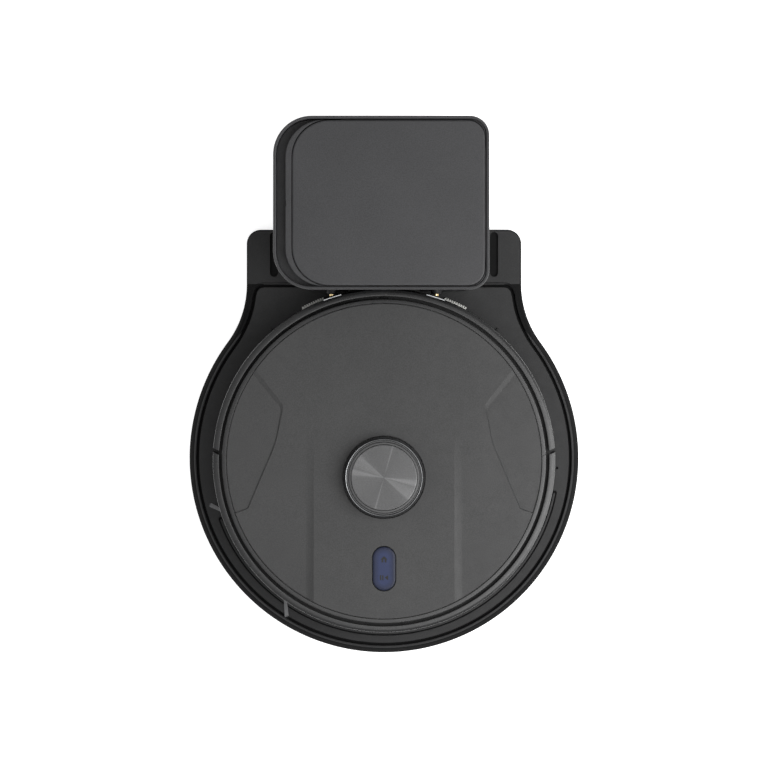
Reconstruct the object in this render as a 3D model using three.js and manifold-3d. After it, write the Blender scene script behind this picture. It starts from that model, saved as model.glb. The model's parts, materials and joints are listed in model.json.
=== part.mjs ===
// A robot vacuum cleaner docked in its self-emptying station.
// Millimetres, +Z up. The station's tower is towards +Y and the robot's front faces -Y.
// The origin is on the floor, at the middle of the footprint.
import * as THREE from "three";
import { mergeVertices } from "three/addons/utils/BufferGeometryUtils.js";
import Module from "manifold-3d";

const wasm = await Module();
wasm.setup();

// ---- driving dimensions ----
const GAP = 0.3; // clearance between pieces that rest on each other
const QUARTER = Math.PI / 2;
const RING_STEPS = 60;

// Tray: a disc under the robot that narrows into a neck under the tower.
const TRAY_RADIUS = 201;
const TRAY_Y = -62.7;
const NECK_HALF = 141.7;
const NECK_REAR = 173;
const NECK_CORNER = 14.5;
const FILLET = 101;
const TRAY_BOTTOM = 2;
const TRAY_TOP = 9;
const GROOVE_REAR = 116;

// Tower.
const TOWER = { left: -103.4, right: 98.2, front: 101.7, rear: 263.7, top: 399.2 };
const TOWER_BASE = 9.3;
const TOWER_WALL = 3;
const LEFT_CORNER = 36;
const RIGHT_CORNER = 18;
const LID = { left: -85.7, right: 94.2, front: 105.4, rear: 259.5, top: 400 };
const LID_THICK = 7.5;
const FRAME_BOTTOM = 374;
const FRAME_TOP = 398.6;
const RISER_X = 79;

// Robot, measured from its own centre line.
const ROBOT_Y = -64.5;
const ROBOT_RADIUS = 175;
const NICHE_RADIUS = 178;
const NICHE_TOP = 100;
const BODY_RADIUS = 164.2;
const COVER_RADIUS = 159.4;
const FLOOR_Z = 19;
const DECK_Z = 76;
const COVER_TOP = 89;
const BUMPER_TRAVEL_SLOT = 2.2; // half the slot between the bumper and the rear shell
const LIDAR_Y = -16.2;
const BELT = { reach: 31.8, pulleyReach: 6.3, thickness: 1.1, pulleyX: 56 };
const BUTTON_Y = -108.7;
const BUTTON_HALF_WIDTH = 11.6;
const BUTTON_HALF_LENGTH = 22.3;
const ROLLER = { y: -38, z: 31.5, radius: 20, left: -84, right: 72 };
const WHEEL = { x: 118, y: 14, z: 39.3, radius: 30, width: 22 };
const PIVOT = { y: -22, z: 40 };
const CASTER = { y: -128, wheelY: -124, z: 23.3, radius: 14 };
const SIDE_BRUSH = { x: -106.7, y: -81.2, reach: 82, firstArm: -85.5 };
const PORT = { half: 30, bottom: 28, top: 52 };
const PAD_ANGLE = 17.5;

// ---- solids ----
const degrees = THREE.MathUtils.degToRad;

function toSolid(geometry) {
  const bare = geometry.clone();
  bare.deleteAttribute("normal");
  bare.deleteAttribute("uv");
  const merged = mergeVertices(bare, 1e-3);
  const mesh = new wasm.Mesh({
    numProp: 3,
    vertProperties: merged.attributes.position.array,
    triVerts: new Uint32Array(merged.index.array),
  });
  return new wasm.Manifold(mesh);
}

function toGeometry(solid) {
  const mesh = solid.getMesh();
  const geometry = new THREE.BufferGeometry();
  geometry.setAttribute("position", new THREE.BufferAttribute(mesh.vertProperties, 3));
  geometry.setIndex(new THREE.BufferAttribute(mesh.triVerts, 1));
  geometry.computeVertexNormals();
  return geometry;
}

// An outline in plan, raised from bottom to top.
function prism(points, bottom, top) {
  const settings = { depth: top - bottom, bevelEnabled: false };
  const geometry = new THREE.ExtrudeGeometry(new THREE.Shape(points), settings);
  return toSolid(geometry.translate(0, 0, bottom));
}

// An outline of (y, z) points, run along X from x0 to x1.
function prismX(points, x0, x1) {
  const settings = { depth: x1 - x0, bevelEnabled: false };
  const geometry = new THREE.ExtrudeGeometry(new THREE.Shape(points), settings);
  geometry.rotateY(QUARTER).rotateX(QUARTER);
  return toSolid(geometry.translate(x0, 0, 0));
}

function block(x0, x1, y0, y1, z0, z1) {
  const geometry = new THREE.BoxGeometry(x1 - x0, y1 - y0, z1 - z0);
  return toSolid(geometry.translate((x0 + x1) / 2, (y0 + y1) / 2, (z0 + z1) / 2));
}

function disc(radius, z0, z1, x = 0, y = 0, steps = 24) {
  const geometry = new THREE.CylinderGeometry(radius, radius, z1 - z0, steps);
  return toSolid(geometry.rotateX(QUARTER).translate(x, y, (z0 + z1) / 2));
}

function rodX(radius, x0, x1, y, z, steps = 20) {
  const geometry = new THREE.CylinderGeometry(radius, radius, x1 - x0, steps);
  return toSolid(geometry.rotateZ(QUARTER).translate((x0 + x1) / 2, y, z));
}

function rodY(radius, y0, y1, x, z, steps = 16) {
  const geometry = new THREE.CylinderGeometry(radius, radius, y1 - y0, steps);
  return toSolid(geometry.translate(x, (y0 + y1) / 2, z));
}

// A closed profile of [radius, height] pairs, listed anticlockwise, turned about Z.
function turned(profile, steps = RING_STEPS, y = 0) {
  const points = [...profile, profile[0]].map(([radius, z]) => new THREE.Vector2(radius, z));
  return toSolid(new THREE.LatheGeometry(points, steps).rotateX(QUARTER).translate(0, y, 0));
}

function tube(points, radius, steps, sides) {
  const path = new THREE.CatmullRomCurve3(points.map((point) => new THREE.Vector3(...point)));
  const section = new THREE.Shape(arc(0, 0, radius, 0, 4 * QUARTER, sides).slice(1));
  return toSolid(new THREE.ExtrudeGeometry(section, { steps, extrudePath: path, bevelEnabled: false }));
}

function join(first, ...others) {
  return others.reduce((whole, other) => whole.add(other), first);
}

function cut(first, ...tools) {
  return tools.reduce((whole, tool) => whole.subtract(tool), first);
}

// ---- outlines ----
function arc(x, y, radius, from, to, steps) {
  return Array.from({ length: steps + 1 }, (_, i) => {
    const angle = from + ((to - from) * i) / steps;
    return new THREE.Vector2(x + radius * Math.cos(angle), y + radius * Math.sin(angle));
  });
}

function roundedRect({ left, right, front, rear }, leftCorner, rightCorner, steps = 6) {
  return [
    ...arc(right - rightCorner, front + rightCorner, rightCorner, -QUARTER, 0, steps),
    ...arc(right - rightCorner, rear - rightCorner, rightCorner, 0, QUARTER, steps),
    ...arc(left + leftCorner, rear - leftCorner, leftCorner, QUARTER, 2 * QUARTER, steps),
    ...arc(left + leftCorner, front + leftCorner, leftCorner, 2 * QUARTER, 3 * QUARTER, steps),
  ];
}

function capsule(x, y, halfWidth, halfLength, steps = 8) {
  const reach = halfLength - halfWidth;
  return [
    ...arc(x, y + reach, halfWidth, 0, 2 * QUARTER, steps),
    ...arc(x, y - reach, halfWidth, 2 * QUARTER, 4 * QUARTER, steps),
  ];
}

// A band between two radii, over a span of angles in degrees measured from +Y, clockwise.
function band(inner, outer, from, to, z0, z1, steps = 8) {
  const [a, b] = [degrees(90 - from), degrees(90 - to)];
  return prism([...arc(0, 0, inner, a, b, steps), ...arc(0, 0, outer, b, a, steps)], z0, z1);
}

// The tray's outline, moved in by inset, and squared off at rearY.
function trayOutline(inset, rearY, corner) {
  const filletX = NECK_HALF + FILLET;
  const reach = TRAY_RADIUS + FILLET;
  const lean = Math.acos(filletX / reach);
  const filletY = TRAY_Y + reach * Math.sin(lean);
  const hollow = FILLET + inset;
  const half = NECK_HALF - inset;
  const stop = Math.PI + Math.asin(Math.max(0, (filletY - rearY + corner) / hollow));
  const side = [
    ...arc(0, TRAY_Y, TRAY_RADIUS - inset, -QUARTER, lean, 32),
    ...arc(filletX, filletY, hollow, Math.PI + lean, stop, 8),
    ...arc(half - corner, rearY - corner, corner, 0, QUARTER, 5),
  ];
  const mirrored = side.slice(1).reverse().map((point) => new THREE.Vector2(-point.x, point.y));
  return [...side, ...mirrored];
}

function towerOutline(inset) {
  const { left, right, front, rear } = TOWER;
  const size = { left: left + inset, right: right - inset, front: front + inset, rear: rear - inset };
  return roundedRect(size, LEFT_CORNER - inset, RIGHT_CORNER - inset);
}

// The lid's outline, moved out by gap.
function lidOutline(gap) {
  const { left, right, front, rear } = LID;
  const size = { left: left - gap, right: right + gap, front: front - gap, rear: rear + gap };
  return roundedRect(size, 35, RIGHT_CORNER - 2);
}

// ---- materials ----
function finish(color, roughness, metalness = 0) {
  return new THREE.MeshStandardMaterial({ color, roughness, metalness });
}

const graphite = finish(0x47474a, 0.45);
const black = finish(0x262628, 0.55);
const innerPlastic = finish(0x5c5d60, 0.6);
const whitePlastic = finish(0xd8d8d4, 0.5);
const blue = finish(0x2f3f86, 0.35);
const spunMetal = finish(0x8e8e92, 0.3, 0.9);
const steel = finish(0xb5b7ba, 0.3, 1);
const gold = finish(0xd0b070, 0.25, 1);
const rubber = finish(0x1b1b1c, 0.85);
const smoke = finish(0x121214, 0.1);
const boardGreen = finish(0x1f5a36, 0.5);
const paper = finish(0xd9d4c6, 0.9);
const card = finish(0xc9b48a, 0.85);
const bristle = finish(0x6d6d70, 0.7);

const station = new THREE.Group();
const robot = new THREE.Group();
robot.position.y = ROBOT_Y;

function place(group, name, solid, material) {
  const mesh = new THREE.Mesh(toGeometry(solid), material);
  mesh.name = name;
  group.add(mesh);
}

// ---- station: tray and feet ----
function guideRib(from, to) {
  return band(176.2, 178.6, from, to, TRAY_TOP - 1, 15, 5).translate([0, ROBOT_Y, 0]);
}

function makeTray() {
  const plate = prism(trayOutline(0, NECK_REAR, NECK_CORNER), TRAY_BOTTOM, TRAY_TOP);
  const grooveOuter = prism(trayOutline(7.6, GROOVE_REAR, 10), 6.6, 10);
  const grooveInner = prism(trayOutline(10, GROOVE_REAR - 2.4, 7.6), 6, 11);
  const slots = [-1, 1].map((side) => prism(capsule(side * 113.5, 147.5, 4.1, 23), 6, 10));
  const plain = cut(plate, cut(grooveOuter, grooveInner), ...slots);
  return join(plain, guideRib(22, 28), guideRib(-28, -22));
}

place(station, "tray", makeTray(), graphite);
const feet = { front_left: [-95, -200], front_right: [95, -200], rear_left: [-75, 238], rear_right: [70, 238] };
for (const [corner, [x, y]] of Object.entries(feet)) {
  place(station, `foot_${corner}`, disc(12, 0, TRAY_BOTTOM - GAP, x, y, 20), rubber);
}

// ---- station: tower ----
function niche(radius, top) {
  return disc(radius, -1, top, 0, ROBOT_Y, RING_STEPS);
}

function makeTowerShell() {
  const body = cut(prism(towerOutline(0), TOWER_BASE, TOWER.top), niche(NICHE_RADIUS, NICHE_TOP));
  const inside = cut(prism(towerOutline(TOWER_WALL), TOWER_BASE + 3, TOWER.top + 1),
    niche(NICHE_RADIUS + TOWER_WALL, NICHE_TOP + TOWER_WALL));
  const plinthArea = block(-110, 110, NECK_REAR + GAP, 270, 0, 20);
  const plinth = prism(towerOutline(0), TRAY_BOTTOM, TOWER_BASE + 1).intersect(plinthArea);
  const openings = [
    block(-28, 28, 100, 125, 29, 51), // dust port
    band(170, 190, -6.2, 6.2, 65.7, 82.3).translate([0, ROBOT_Y, 0]), // infrared window
    ...[-1, 1].map((side) => block(side * 53 - 3.4, side * 53 + 3.4, 98, 112, 59.6, 66.4)),
    block(49.7, 76.3, 255, 270, 27.7, 50.3), // power inlet
    block(-70.3, 30.3, 255, 270, 59.7, 105.3), // exhaust
  ];
  return cut(join(cut(body, inside), plinth), ...openings);
}

function makeTopFrame() {
  const plug = prism(towerOutline(TOWER_WALL + GAP), FRAME_BOTTOM, FRAME_TOP);
  const wallOutline = lidOutline(GAP).map((point) => new THREE.Vector2(point.x - 6, point.y));
  const fingerRecess = cut(prism(towerOutline(TOWER_WALL + 1.5), FRAME_BOTTOM + 3, FRAME_TOP + 1),
    prism(wallOutline, FRAME_BOTTOM, FRAME_TOP + 2),
    block(-40, 110, 90, 270, FRAME_BOTTOM, FRAME_TOP + 2));
  const pocketFloor = LID.top - LID_THICK - 0.5;
  const lidPocket = join(prism(lidOutline(0.5), pocketFloor, FRAME_TOP + 1),
    block(80, 96, 121, 244, pocketFloor, FRAME_TOP + 1));
  const bagMouth = prism(roundedRect({ left: -80, right: 86, front: 112, rear: 253 }, 24, 12),
    FRAME_BOTTOM - 1, FRAME_TOP);
  const catchSlot = block(-94.5, -84, 179.5, 185, 389.5, FRAME_TOP + 1);
  return cut(plug, fingerRecess, lidPocket, bagMouth, catchSlot);
}

// The lid turns about its top right-hand edge, on a flexible strip.
function makeLid() {
  const plate = prism(lidOutline(0), LID.top - LID_THICK, LID.top);
  const tab = block(LID.left - 4, LID.left + 3, 180.4, 184.1, 393, 398.4);
  return join(plate, tab);
}

place(station, "tower_shell", makeTowerShell(), graphite);
place(station, "top_frame", makeTopFrame(), black);
place(station, "lid", makeLid(), graphite);
place(station, "lid_hinge_strip", block(94.45, 94.95, 130, 235, 392.4, 399), rubber);

// ---- station: dust bag and its bay ----
function makeBagBay() {
  const outline = (inset) => {
    const size = { left: -84 + inset, right: 62 - inset, front: 108 + inset, rear: 257.5 - inset };
    return roundedRect(size, 24, 8, 4);
  };
  const bucket = cut(prism(outline(0), 208, 372.5), prism(outline(2), 210, 380));
  const vents = Array.from({ length: 7 }, (_, i) => block(-62 + 16 * i, -54 + 16 * i, 130, 236, 200, 215));
  const rails = [146, 214.4].map((y) => block(54.5, 61, y, y + 3.6, 262, 350));
  return cut(join(bucket, ...rails), ...vents, block(50, 70, 169.5, 194.5, 299.5, 334.5));
}

function makeBag() {
  const size = { left: -76, right: 50, front: 117, rear: 248 };
  const settings = { depth: 112, bevelEnabled: true, bevelThickness: 12, bevelSize: 4, bevelSegments: 3 };
  const shape = new THREE.Shape(roundedRect(size, 26, 14, 4));
  return toSolid(new THREE.ExtrudeGeometry(shape, settings).translate(0, 0, 226));
}

function makeBagCollar() {
  const outline = [[150, 258], [214, 258], [214, 352], [197, 352], [197, 366], [167, 366], [167, 352], [150, 352]];
  const plate = prismX(outline.map(([y, z]) => new THREE.Vector2(y, z)), 55, 57.6);
  return cut(plate, rodX(13, 50, 60, 182, 317));
}

function makeDuct() {
  const route = [[0, 118, 40], [0, 134, 40], [30, 150, 45], [64, 172, 74], [RISER_X, 182, 122],
    [RISER_X, 182, 210], [RISER_X, 182, 300]];
  const [steps, sides] = [18, 8];
  const outer = join(tube(route, 13, steps, sides), block(64, 93, 166, 198, 296, 338));
  const bore = join(tube(route, 11, steps, sides), block(60, 91, 168, 196, 298, 336));
  const mouth = rodY(11, 110, 124, 0, 40, sides);
  const elbowWay = disc(11, 290, 300, RISER_X, 182, sides);
  return cut(outer, bore, mouth, elbowWay);
}

function makeDuctSeal() {
  const ring = band(175.6, 177.6, -12, 12, 23, 57, 8);
  return cut(ring, block(-PORT.half, PORT.half, 150, 190, PORT.bottom, PORT.top)).translate([0, ROBOT_Y, 0]);
}

place(station, "bag_bay", makeBagBay(), innerPlastic);
place(station, "dust_bag", makeBag(), paper);
place(station, "bag_collar", makeBagCollar(), card);
place(station, "suction_duct", makeDuct(), innerPlastic);
place(station, "duct_seal", makeDuctSeal(), rubber);

// ---- station: blower, board and contacts ----
const FAN = { x: -20, y: 186, bottom: 120, top: 199 };

function makeFanHousing() {
  const { x, y, bottom, top } = FAN;
  const shell = cut(disc(57, bottom, top, x, y, 32), disc(54.5, bottom + 34, top - 2.5, x, y, 32));
  const outlet = block(x - 14, x + 14, y + 40, y + 70, bottom + 38, top - 12);
  return cut(shell, disc(26, top - 5, top + 1, x, y), disc(6, bottom - 1, bottom + 40, x, y), outlet);
}

function impeller(x, y, radius, z0, z1, shaftBottom) {
  const base = join(disc(radius, z0, z0 + 2, x, y), disc(radius / 4, z0, z1, x, y));
  const blades = Array.from({ length: 6 }, (_, i) => {
    const blade = block(radius / 5, radius * 0.95, -0.8, 0.8, z0 + 1, z1);
    return blade.rotate([0, 0, 60 * i]).translate([x, y, 0]);
  });
  return join(base, disc(Math.min(4, radius / 6), shaftBottom, z0 + 1, x, y), ...blades);
}

function makeInlet() {
  const socket = prism([...arc(66.5, 39, 3.9, -QUARTER, QUARTER, 6), ...arc(59.5, 39, 3.9, QUARTER, 3 * QUARTER, 6)],
    0, 12);
  const cavity = socket.rotate([90, 0, 0]).translate([0, 263.5, 0]);
  const pins = [58.7, 67.3].map((x) => rodY(1.2, 250, 262, x, 39, 10));
  const body = block(50, 76, 243, 263.2, 28, 50);
  return join(cut(body, cavity), ...pins);
}

function makeExhaust() {
  const slots = Array.from({ length: 5 }, (_, i) => block(-64, 24, 250, 270, 65 + 8 * i, 68.4 + 8 * i));
  return cut(block(-70, 30, 260.5, 263.4, 60, 105), ...slots);
}

function makeContact(side) {
  const plunger = rodY(2.6, 103.4, 118, side * 53, 63, 16);
  return join(plunger, block(side * 53 - 5, side * 53 + 5, 111.8, 113.8, 58, 68));
}

place(station, "dock_filter", block(-66, 46, 132, 238, 200.5, 207.5), whitePlastic);
place(station, "dock_fan_housing", makeFanHousing(), innerPlastic);
place(station, "dock_impeller", impeller(FAN.x, FAN.y, 46, 158, 184, 124), black);
place(station, "dock_board", join(block(-85, 20, 247, 248.6, 24, 112), block(-60, -30, 232, 247.5, 40, 70)),
  boardGreen);
place(station, "power_inlet", makeInlet(), black);
place(station, "exhaust_grille", makeExhaust(), black);
place(station, "dock_contact_left", makeContact(-1), gold);
place(station, "dock_contact_right", makeContact(1), gold);
place(station, "ir_window", band(178.3, 180.6, -5.9, 5.9, 66, 82).translate([0, ROBOT_Y, 0]), smoke);

// ---- robot: chassis and shells ----
const bothSides = [["left", -1], ["right", 1]];

function sideBlock(side, x0, x1, y0, y1, z0, z1) {
  return side > 0 ? block(x0, x1, y0, y1, z0, z1) : block(-x1, -x0, y0, y1, z0, z1);
}

function makeBrushBay() {
  const outer = block(-88, 76, -62, -14, FLOOR_Z, 56);
  const inner = block(-86, 74, -60, -16, FLOOR_Z - 1, 54);
  const duct = block(-16, 16, -20, 40, 36, 52);
  return { outer, inner, duct };
}

function makeChassis() {
  const bay = makeBrushBay();
  const pan = cut(disc(BODY_RADIUS, FLOOR_Z, 66.5, 0, 0, RING_STEPS),
    disc(BODY_RADIUS - 2.4, FLOOR_Z + 2.5, 70, 0, 0, RING_STEPS));
  const ductWalls = block(-18, 18, -15, 38.8, 34, 54);
  const casterCup = disc(24, FLOOR_Z, 48, 0, CASTER.y, 28);
  const brackets = bothSides.map(([, side]) => sideBlock(side, 90, 94, -29, -15, FLOOR_Z + 1, 49));
  const solid = join(pan, bay.outer, ductWalls, casterCup, ...brackets);
  const wheelWells = bothSides.map(([, side]) => sideBlock(side, 95.5, 132, -30, 52, 10, 30));
  return cut(solid, bay.inner, bay.duct, ...wheelWells,
    disc(22, FLOOR_Z - 1, 45, 0, CASTER.y, 28),
    disc(3.4, 40, 60, 0, CASTER.y, 16),
    disc(5, 10, 30, SIDE_BRUSH.x, SIDE_BRUSH.y, 16),
    rodX(3.9, -100, 100, PIVOT.y, PIVOT.z, 16).subtract(block(-89, 89, -40, 0, 20, 60)),
    rodX(3.6, -92, -80, ROLLER.y, ROLLER.z, 16),
    rodX(5.7, 70, 80, ROLLER.y, ROLLER.z, 16),
    block(-PORT.half, PORT.half, 150, 175, PORT.bottom, PORT.top));
}

// The side wall of the robot: an upright ring with a rounded shoulder.
function makeSideRing() {
  return turned([[171.5, 22], [175, 24], [175, 75], [173.6, 80], [170.5, 83], [167.3, 83.5],
    [167.3, 80.5], [171.5, 77]]);
}

// Everything in front of the slanted slots that part the bumper from the rear shell.
function frontRegion(offset) {
  const slope = 0.459;
  const [x, y] = [160, 5.1 + offset];
  const outline = [[0, y - slope * x], [250, y + slope * (250 - x)], [250, -300], [-250, -300],
    [-250, y + slope * (250 - x)]];
  return prism(outline.map(([px, py]) => new THREE.Vector2(px, py)).reverse(), 0, 120);
}

function makeBumper() {
  const ring = makeSideRing().intersect(frontRegion(-BUMPER_TRAVEL_SLOT));
  return cut(ring, band(173.3, 178, 145, 215, 47.7, 66.3, 16));
}

function makeRearShell() {
  const ring = cut(makeSideRing(), frontRegion(BUMPER_TRAVEL_SLOT));
  const pads = [-PAD_ANGLE, PAD_ANGLE].map((angle) => band(172.3, 180, angle - 3.2, angle + 3.2, 55.7, 90, 3));
  const flange = band(BODY_RADIUS + GAP, 172, -60, 60, 22.3, 24.6, 24);
  const port = block(-PORT.half, PORT.half, 140, 180, PORT.bottom, PORT.top);
  return cut(join(ring, flange), port, ...pads);
}

function makeTopDeck() {
  const ring = disc(BODY_RADIUS, 66.8, 88, 0, 0, RING_STEPS);
  const windows = bothSides.map(([, side]) => sideBlock(side, 105.5, 131, -22, 50, 70, 90));
  return cut(ring,
    disc(COVER_RADIUS + 0.6, 82.6, 90, 0, 0, RING_STEPS),
    disc(BODY_RADIUS - 2.4, 60, DECK_Z, 0, 0, RING_STEPS),
    disc(155, DECK_Z + 3, 90, 0, 0, RING_STEPS),
    prism(binOutline(1), 70, 90),
    disc(28, 70, 90, 0, LIDAR_Y),
    disc(4, 70, 90, BELT.pulleyX, LIDAR_Y, 12),
    prism(capsule(0, BUTTON_Y, 6, 18, 5), 70, 90), // switches
    ...windows);
}

function makeCover() {
  const plate = turned([[0, 86], [156.4, 86], [156.4, 83], [COVER_RADIUS, 83], [COVER_RADIUS, 88.2],
    [158.6, COVER_TOP], [0, COVER_TOP]]);
  const fall = bothSides.map(([, side]) => {
    const wedge = sideBlock(side, 71.6, 200, -220, 0, 0, 6);
    return wedge.rotate([0.65, 0, 0]).translate([0, 31.5, COVER_TOP]);
  });
  const wings = bothSides.map(([, side]) => {
    const outline = [[180, 122], [130, 92.5], [101, 56], [137, -47.6], [148, -53], [190, -56]];
    const points = outline.map(([x, y]) => new THREE.Vector2(side * x, y));
    return prism(side > 0 ? points.reverse() : points, COVER_TOP - 0.8, 95);
  });
  return cut(plate, ...fall, ...wings, disc(41.9, 70, 95, 0, LIDAR_Y, 40),
    prism(capsule(0, BUTTON_Y, BUTTON_HALF_WIDTH + 0.6, BUTTON_HALF_LENGTH + 0.6), 70, 95));
}

place(robot, "chassis_base", makeChassis(), black);
place(robot, "rear_shell", makeRearShell(), graphite);
place(robot, "bumper", makeBumper(), graphite);
place(robot, "bumper_window", band(173.6, 175, 145.4, 214.6, 48, 66, 16), smoke);
place(robot, "top_deck", makeTopDeck(), graphite);
place(robot, "top_cover", makeCover(), graphite);
for (const [name, side] of bothSides) {
  const angle = side * PAD_ANGLE;
  place(robot, `contact_pad_${name}`, band(172.6, 174.8, angle - 3, angle + 3, 56, 79, 3), steel);
}

// ---- robot: lidar turret ----
const SPUN_RADIUS = 33;

function beltOutline(extra) {
  const [big, small] = [BELT.reach + extra, BELT.pulleyReach + extra];
  const lean = Math.acos((big - small) / BELT.pulleyX);
  return [
    ...arc(0, LIDAR_Y, big, lean, 4 * QUARTER - lean, 28),
    ...arc(BELT.pulleyX, LIDAR_Y, small, -lean, lean, 8),
  ];
}

function makeLidarBase() {
  const cup = cut(disc(41.2, DECK_Z + 3 + GAP, 91, 0, LIDAR_Y, 40), disc(33.6, 80.3, 95, 0, LIDAR_Y, 40),
    disc(8, 70, 95, 0, LIDAR_Y), block(12, 45, LIDAR_Y - 34, LIDAR_Y + 34, 80.3, 84.4));
  const posts = [45, 135, 225, 315].map((angle) => {
    const [x, y] = [37.2 * Math.cos(degrees(angle)), LIDAR_Y + 37.2 * Math.sin(degrees(angle))];
    return disc(2.2, 90, 101, x, y, 12);
  });
  return join(cup, ...posts);
}

function makeRotor() {
  const body = turned([[0, 80.7], [31.5, 80.7], [31.5, 83.3], [30, 83.3], [30, 100.4], [0, 100.4]], 32, 0);
  const lenses = [-11, 11].map((x) => rodY(6, -40, -24, x, 92, 16));
  return cut(body, ...lenses).translate([0, LIDAR_Y, 0]);
}

function makeLidarCap() {
  return turned([[0, 101.3], [39.3, 101.3], [39.3, 105.2], [38.2, 106.6], [36.6, 106.6], [SPUN_RADIUS + 0.6, 105],
    [SPUN_RADIUS, 105.8], [0, 105.8]], 48, LIDAR_Y);
}

function makePulley() {
  const wheel = disc(6, 80.7, 83.4, BELT.pulleyX, LIDAR_Y, 20);
  return join(wheel, disc(1.3, 73.4, 81, BELT.pulleyX, LIDAR_Y, 12));
}

function makeLidarMotor() {
  return cut(disc(9, 57, 75.6, BELT.pulleyX, LIDAR_Y), disc(1.7, 73, 80, BELT.pulleyX, LIDAR_Y, 12));
}

place(robot, "lidar_base", makeLidarBase(), black);
place(robot, "lidar_rotor", makeRotor(), innerPlastic);
place(robot, "lidar_cap", makeLidarCap(), spunMetal);
place(robot, "lidar_motor", makeLidarMotor(), steel);
place(robot, "lidar_pulley", makePulley(), whitePlastic);
place(robot, "lidar_belt", cut(prism(beltOutline(BELT.thickness), 81, 83), prism(beltOutline(0), 80, 84)), rubber);

// ---- robot: button, board and battery ----
function makeButton() {
  const outline = capsule(0, BUTTON_Y, BUTTON_HALF_WIDTH, BUTTON_HALF_LENGTH);
  return prism(outline, 84, COVER_TOP + 0.4);
}

function makeMainBoard() {
  const board = block(-88, 40, -100, 30, 62, 63.6);
  const chips = [[-60, -70], [-30, -40], [10, -80]].map(([x, y]) => block(x, x + 16, y, y + 16, 63, 66));
  const switches = [-1, 1].map((end) => disc(3, 63, 82.6, 0, BUTTON_Y + end * 13, 12));
  const tongue = block(-12, 12, BUTTON_Y - 22, -98, 62, 63.6);
  return join(board, tongue, ...chips, ...switches);
}

place(robot, "button_plate", makeButton(), blue);
place(robot, "main_board", makeMainBoard(), boardGreen);
place(robot, "battery_pack", block(-62, 62, -102, -68, 22, 58), blue);

// ---- robot: dust bin and fan ----
function binOutline(extra) {
  const half = 92 + extra;
  const reach = 157 + extra;
  const corner = Math.acos(half / reach);
  return [...arc(0, 0, reach, corner, Math.PI - corner, 16), new THREE.Vector2(-half, 39.8 - extra / 2),
    new THREE.Vector2(half, 39.8 - extra / 2)];
}

function makeBin() {
  const shell = cut(prism(binOutline(0), 22, 71.5), prism(binOutline(-2), 24, 80));
  return cut(shell, block(-15, 15, 30, 45, 37, 51), block(-PORT.half + 2, PORT.half - 2, 145, 165, 30, 50));
}

function makeFlap() {
  return join(block(-29.5, 29.5, 149.4, 151, 28, 51.2), rodX(1.4, -29.5, 29.5, 150.2, 52, 12));
}

function makeRobotFanHousing() {
  const shell = cut(disc(22, 24, 52, -52, 13, 28), disc(20, 28, 50, -52, 13, 28));
  return cut(shell, disc(9, 45, 60, -52, 13, 20), disc(3.6, 20, 30, -52, 13, 12), block(-64, -52, 30, 40, 32, 44));
}

place(robot, "dust_bin", makeBin(), smoke);
place(robot, "bin_lid", prism(binOutline(0), 71.8, 75), black);
place(robot, "bin_flap", makeFlap(), rubber);
place(robot, "fan_housing", makeRobotFanHousing(), innerPlastic);
place(robot, "fan_impeller", impeller(-52, 13, 18.5, 31, 46, 26), black);

// ---- robot: brushes ----
function makeRoller() {
  const core = rodX(13, ROLLER.left, ROLLER.right, ROLLER.y, ROLLER.z, 18);
  const blades = Array.from({ length: 6 }, (_, i) => {
    const blade = block(ROLLER.left, ROLLER.right, -1.4, 1.4, 8, ROLLER.radius);
    return blade.rotate([60 * i, 0, 0]).translate([0, ROLLER.y, ROLLER.z]);
  });
  return join(core, ...blades, rodX(3.2, ROLLER.left - 7, ROLLER.left + 1, ROLLER.y, ROLLER.z, 14),
    rodX(5.2, ROLLER.right - 1, 80.5, ROLLER.y, ROLLER.z, 14));
}

function makeBrushGuard() {
  return cut(block(-93, 80, -66, -10, 16.7, FLOOR_Z - GAP), block(-85.5, 73.5, -58.5, -17.5, 10, 25));
}

function makeGearbox() {
  const body = block(76.3, 88.5, -58, 14, 24, 52);
  return cut(join(body, rodX(10.5, 44, 77, 3.2, 36, 20)), rodX(5.6, 70, 82, ROLLER.y, ROLLER.z, 16));
}

function makeSideBrush() {
  const side = [[0, 16.5], [0, 13.2], [11, 13.2], [21, 9.6], [SIDE_BRUSH.reach, 9.6], [SIDE_BRUSH.reach, 10.8],
    [22, 10.8], [12, 14.6], [12, 16.5]];
  const arms = [0, 120, 240].map((turn) => {
    const settings = { depth: 3.4, bevelEnabled: false };
    const shape = new THREE.Shape(side.map(([r, z]) => new THREE.Vector2(r, z)).reverse());
    const geometry = new THREE.ExtrudeGeometry(shape, settings).translate(0, 0, -1.7).rotateX(QUARTER);
    return toSolid(geometry).rotate([0, 0, SIDE_BRUSH.firstArm + turn]);
  });
  return join(disc(12, 13.2, 18.5), disc(3, 18, 26), ...arms).translate([SIDE_BRUSH.x, SIDE_BRUSH.y, 0]);
}

place(robot, "main_brush", makeRoller(), rubber);
place(robot, "brush_guard", makeBrushGuard(), black);
place(robot, "brush_gearbox", makeGearbox(), innerPlastic);
place(robot, "side_brush", makeSideBrush(), bristle);
place(robot, "side_brush_motor", cut(disc(13, 22, 50, SIDE_BRUSH.x, SIDE_BRUSH.y),
  disc(3.4, 20, 27, SIDE_BRUSH.x, SIDE_BRUSH.y, 16)), innerPlastic);

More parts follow.
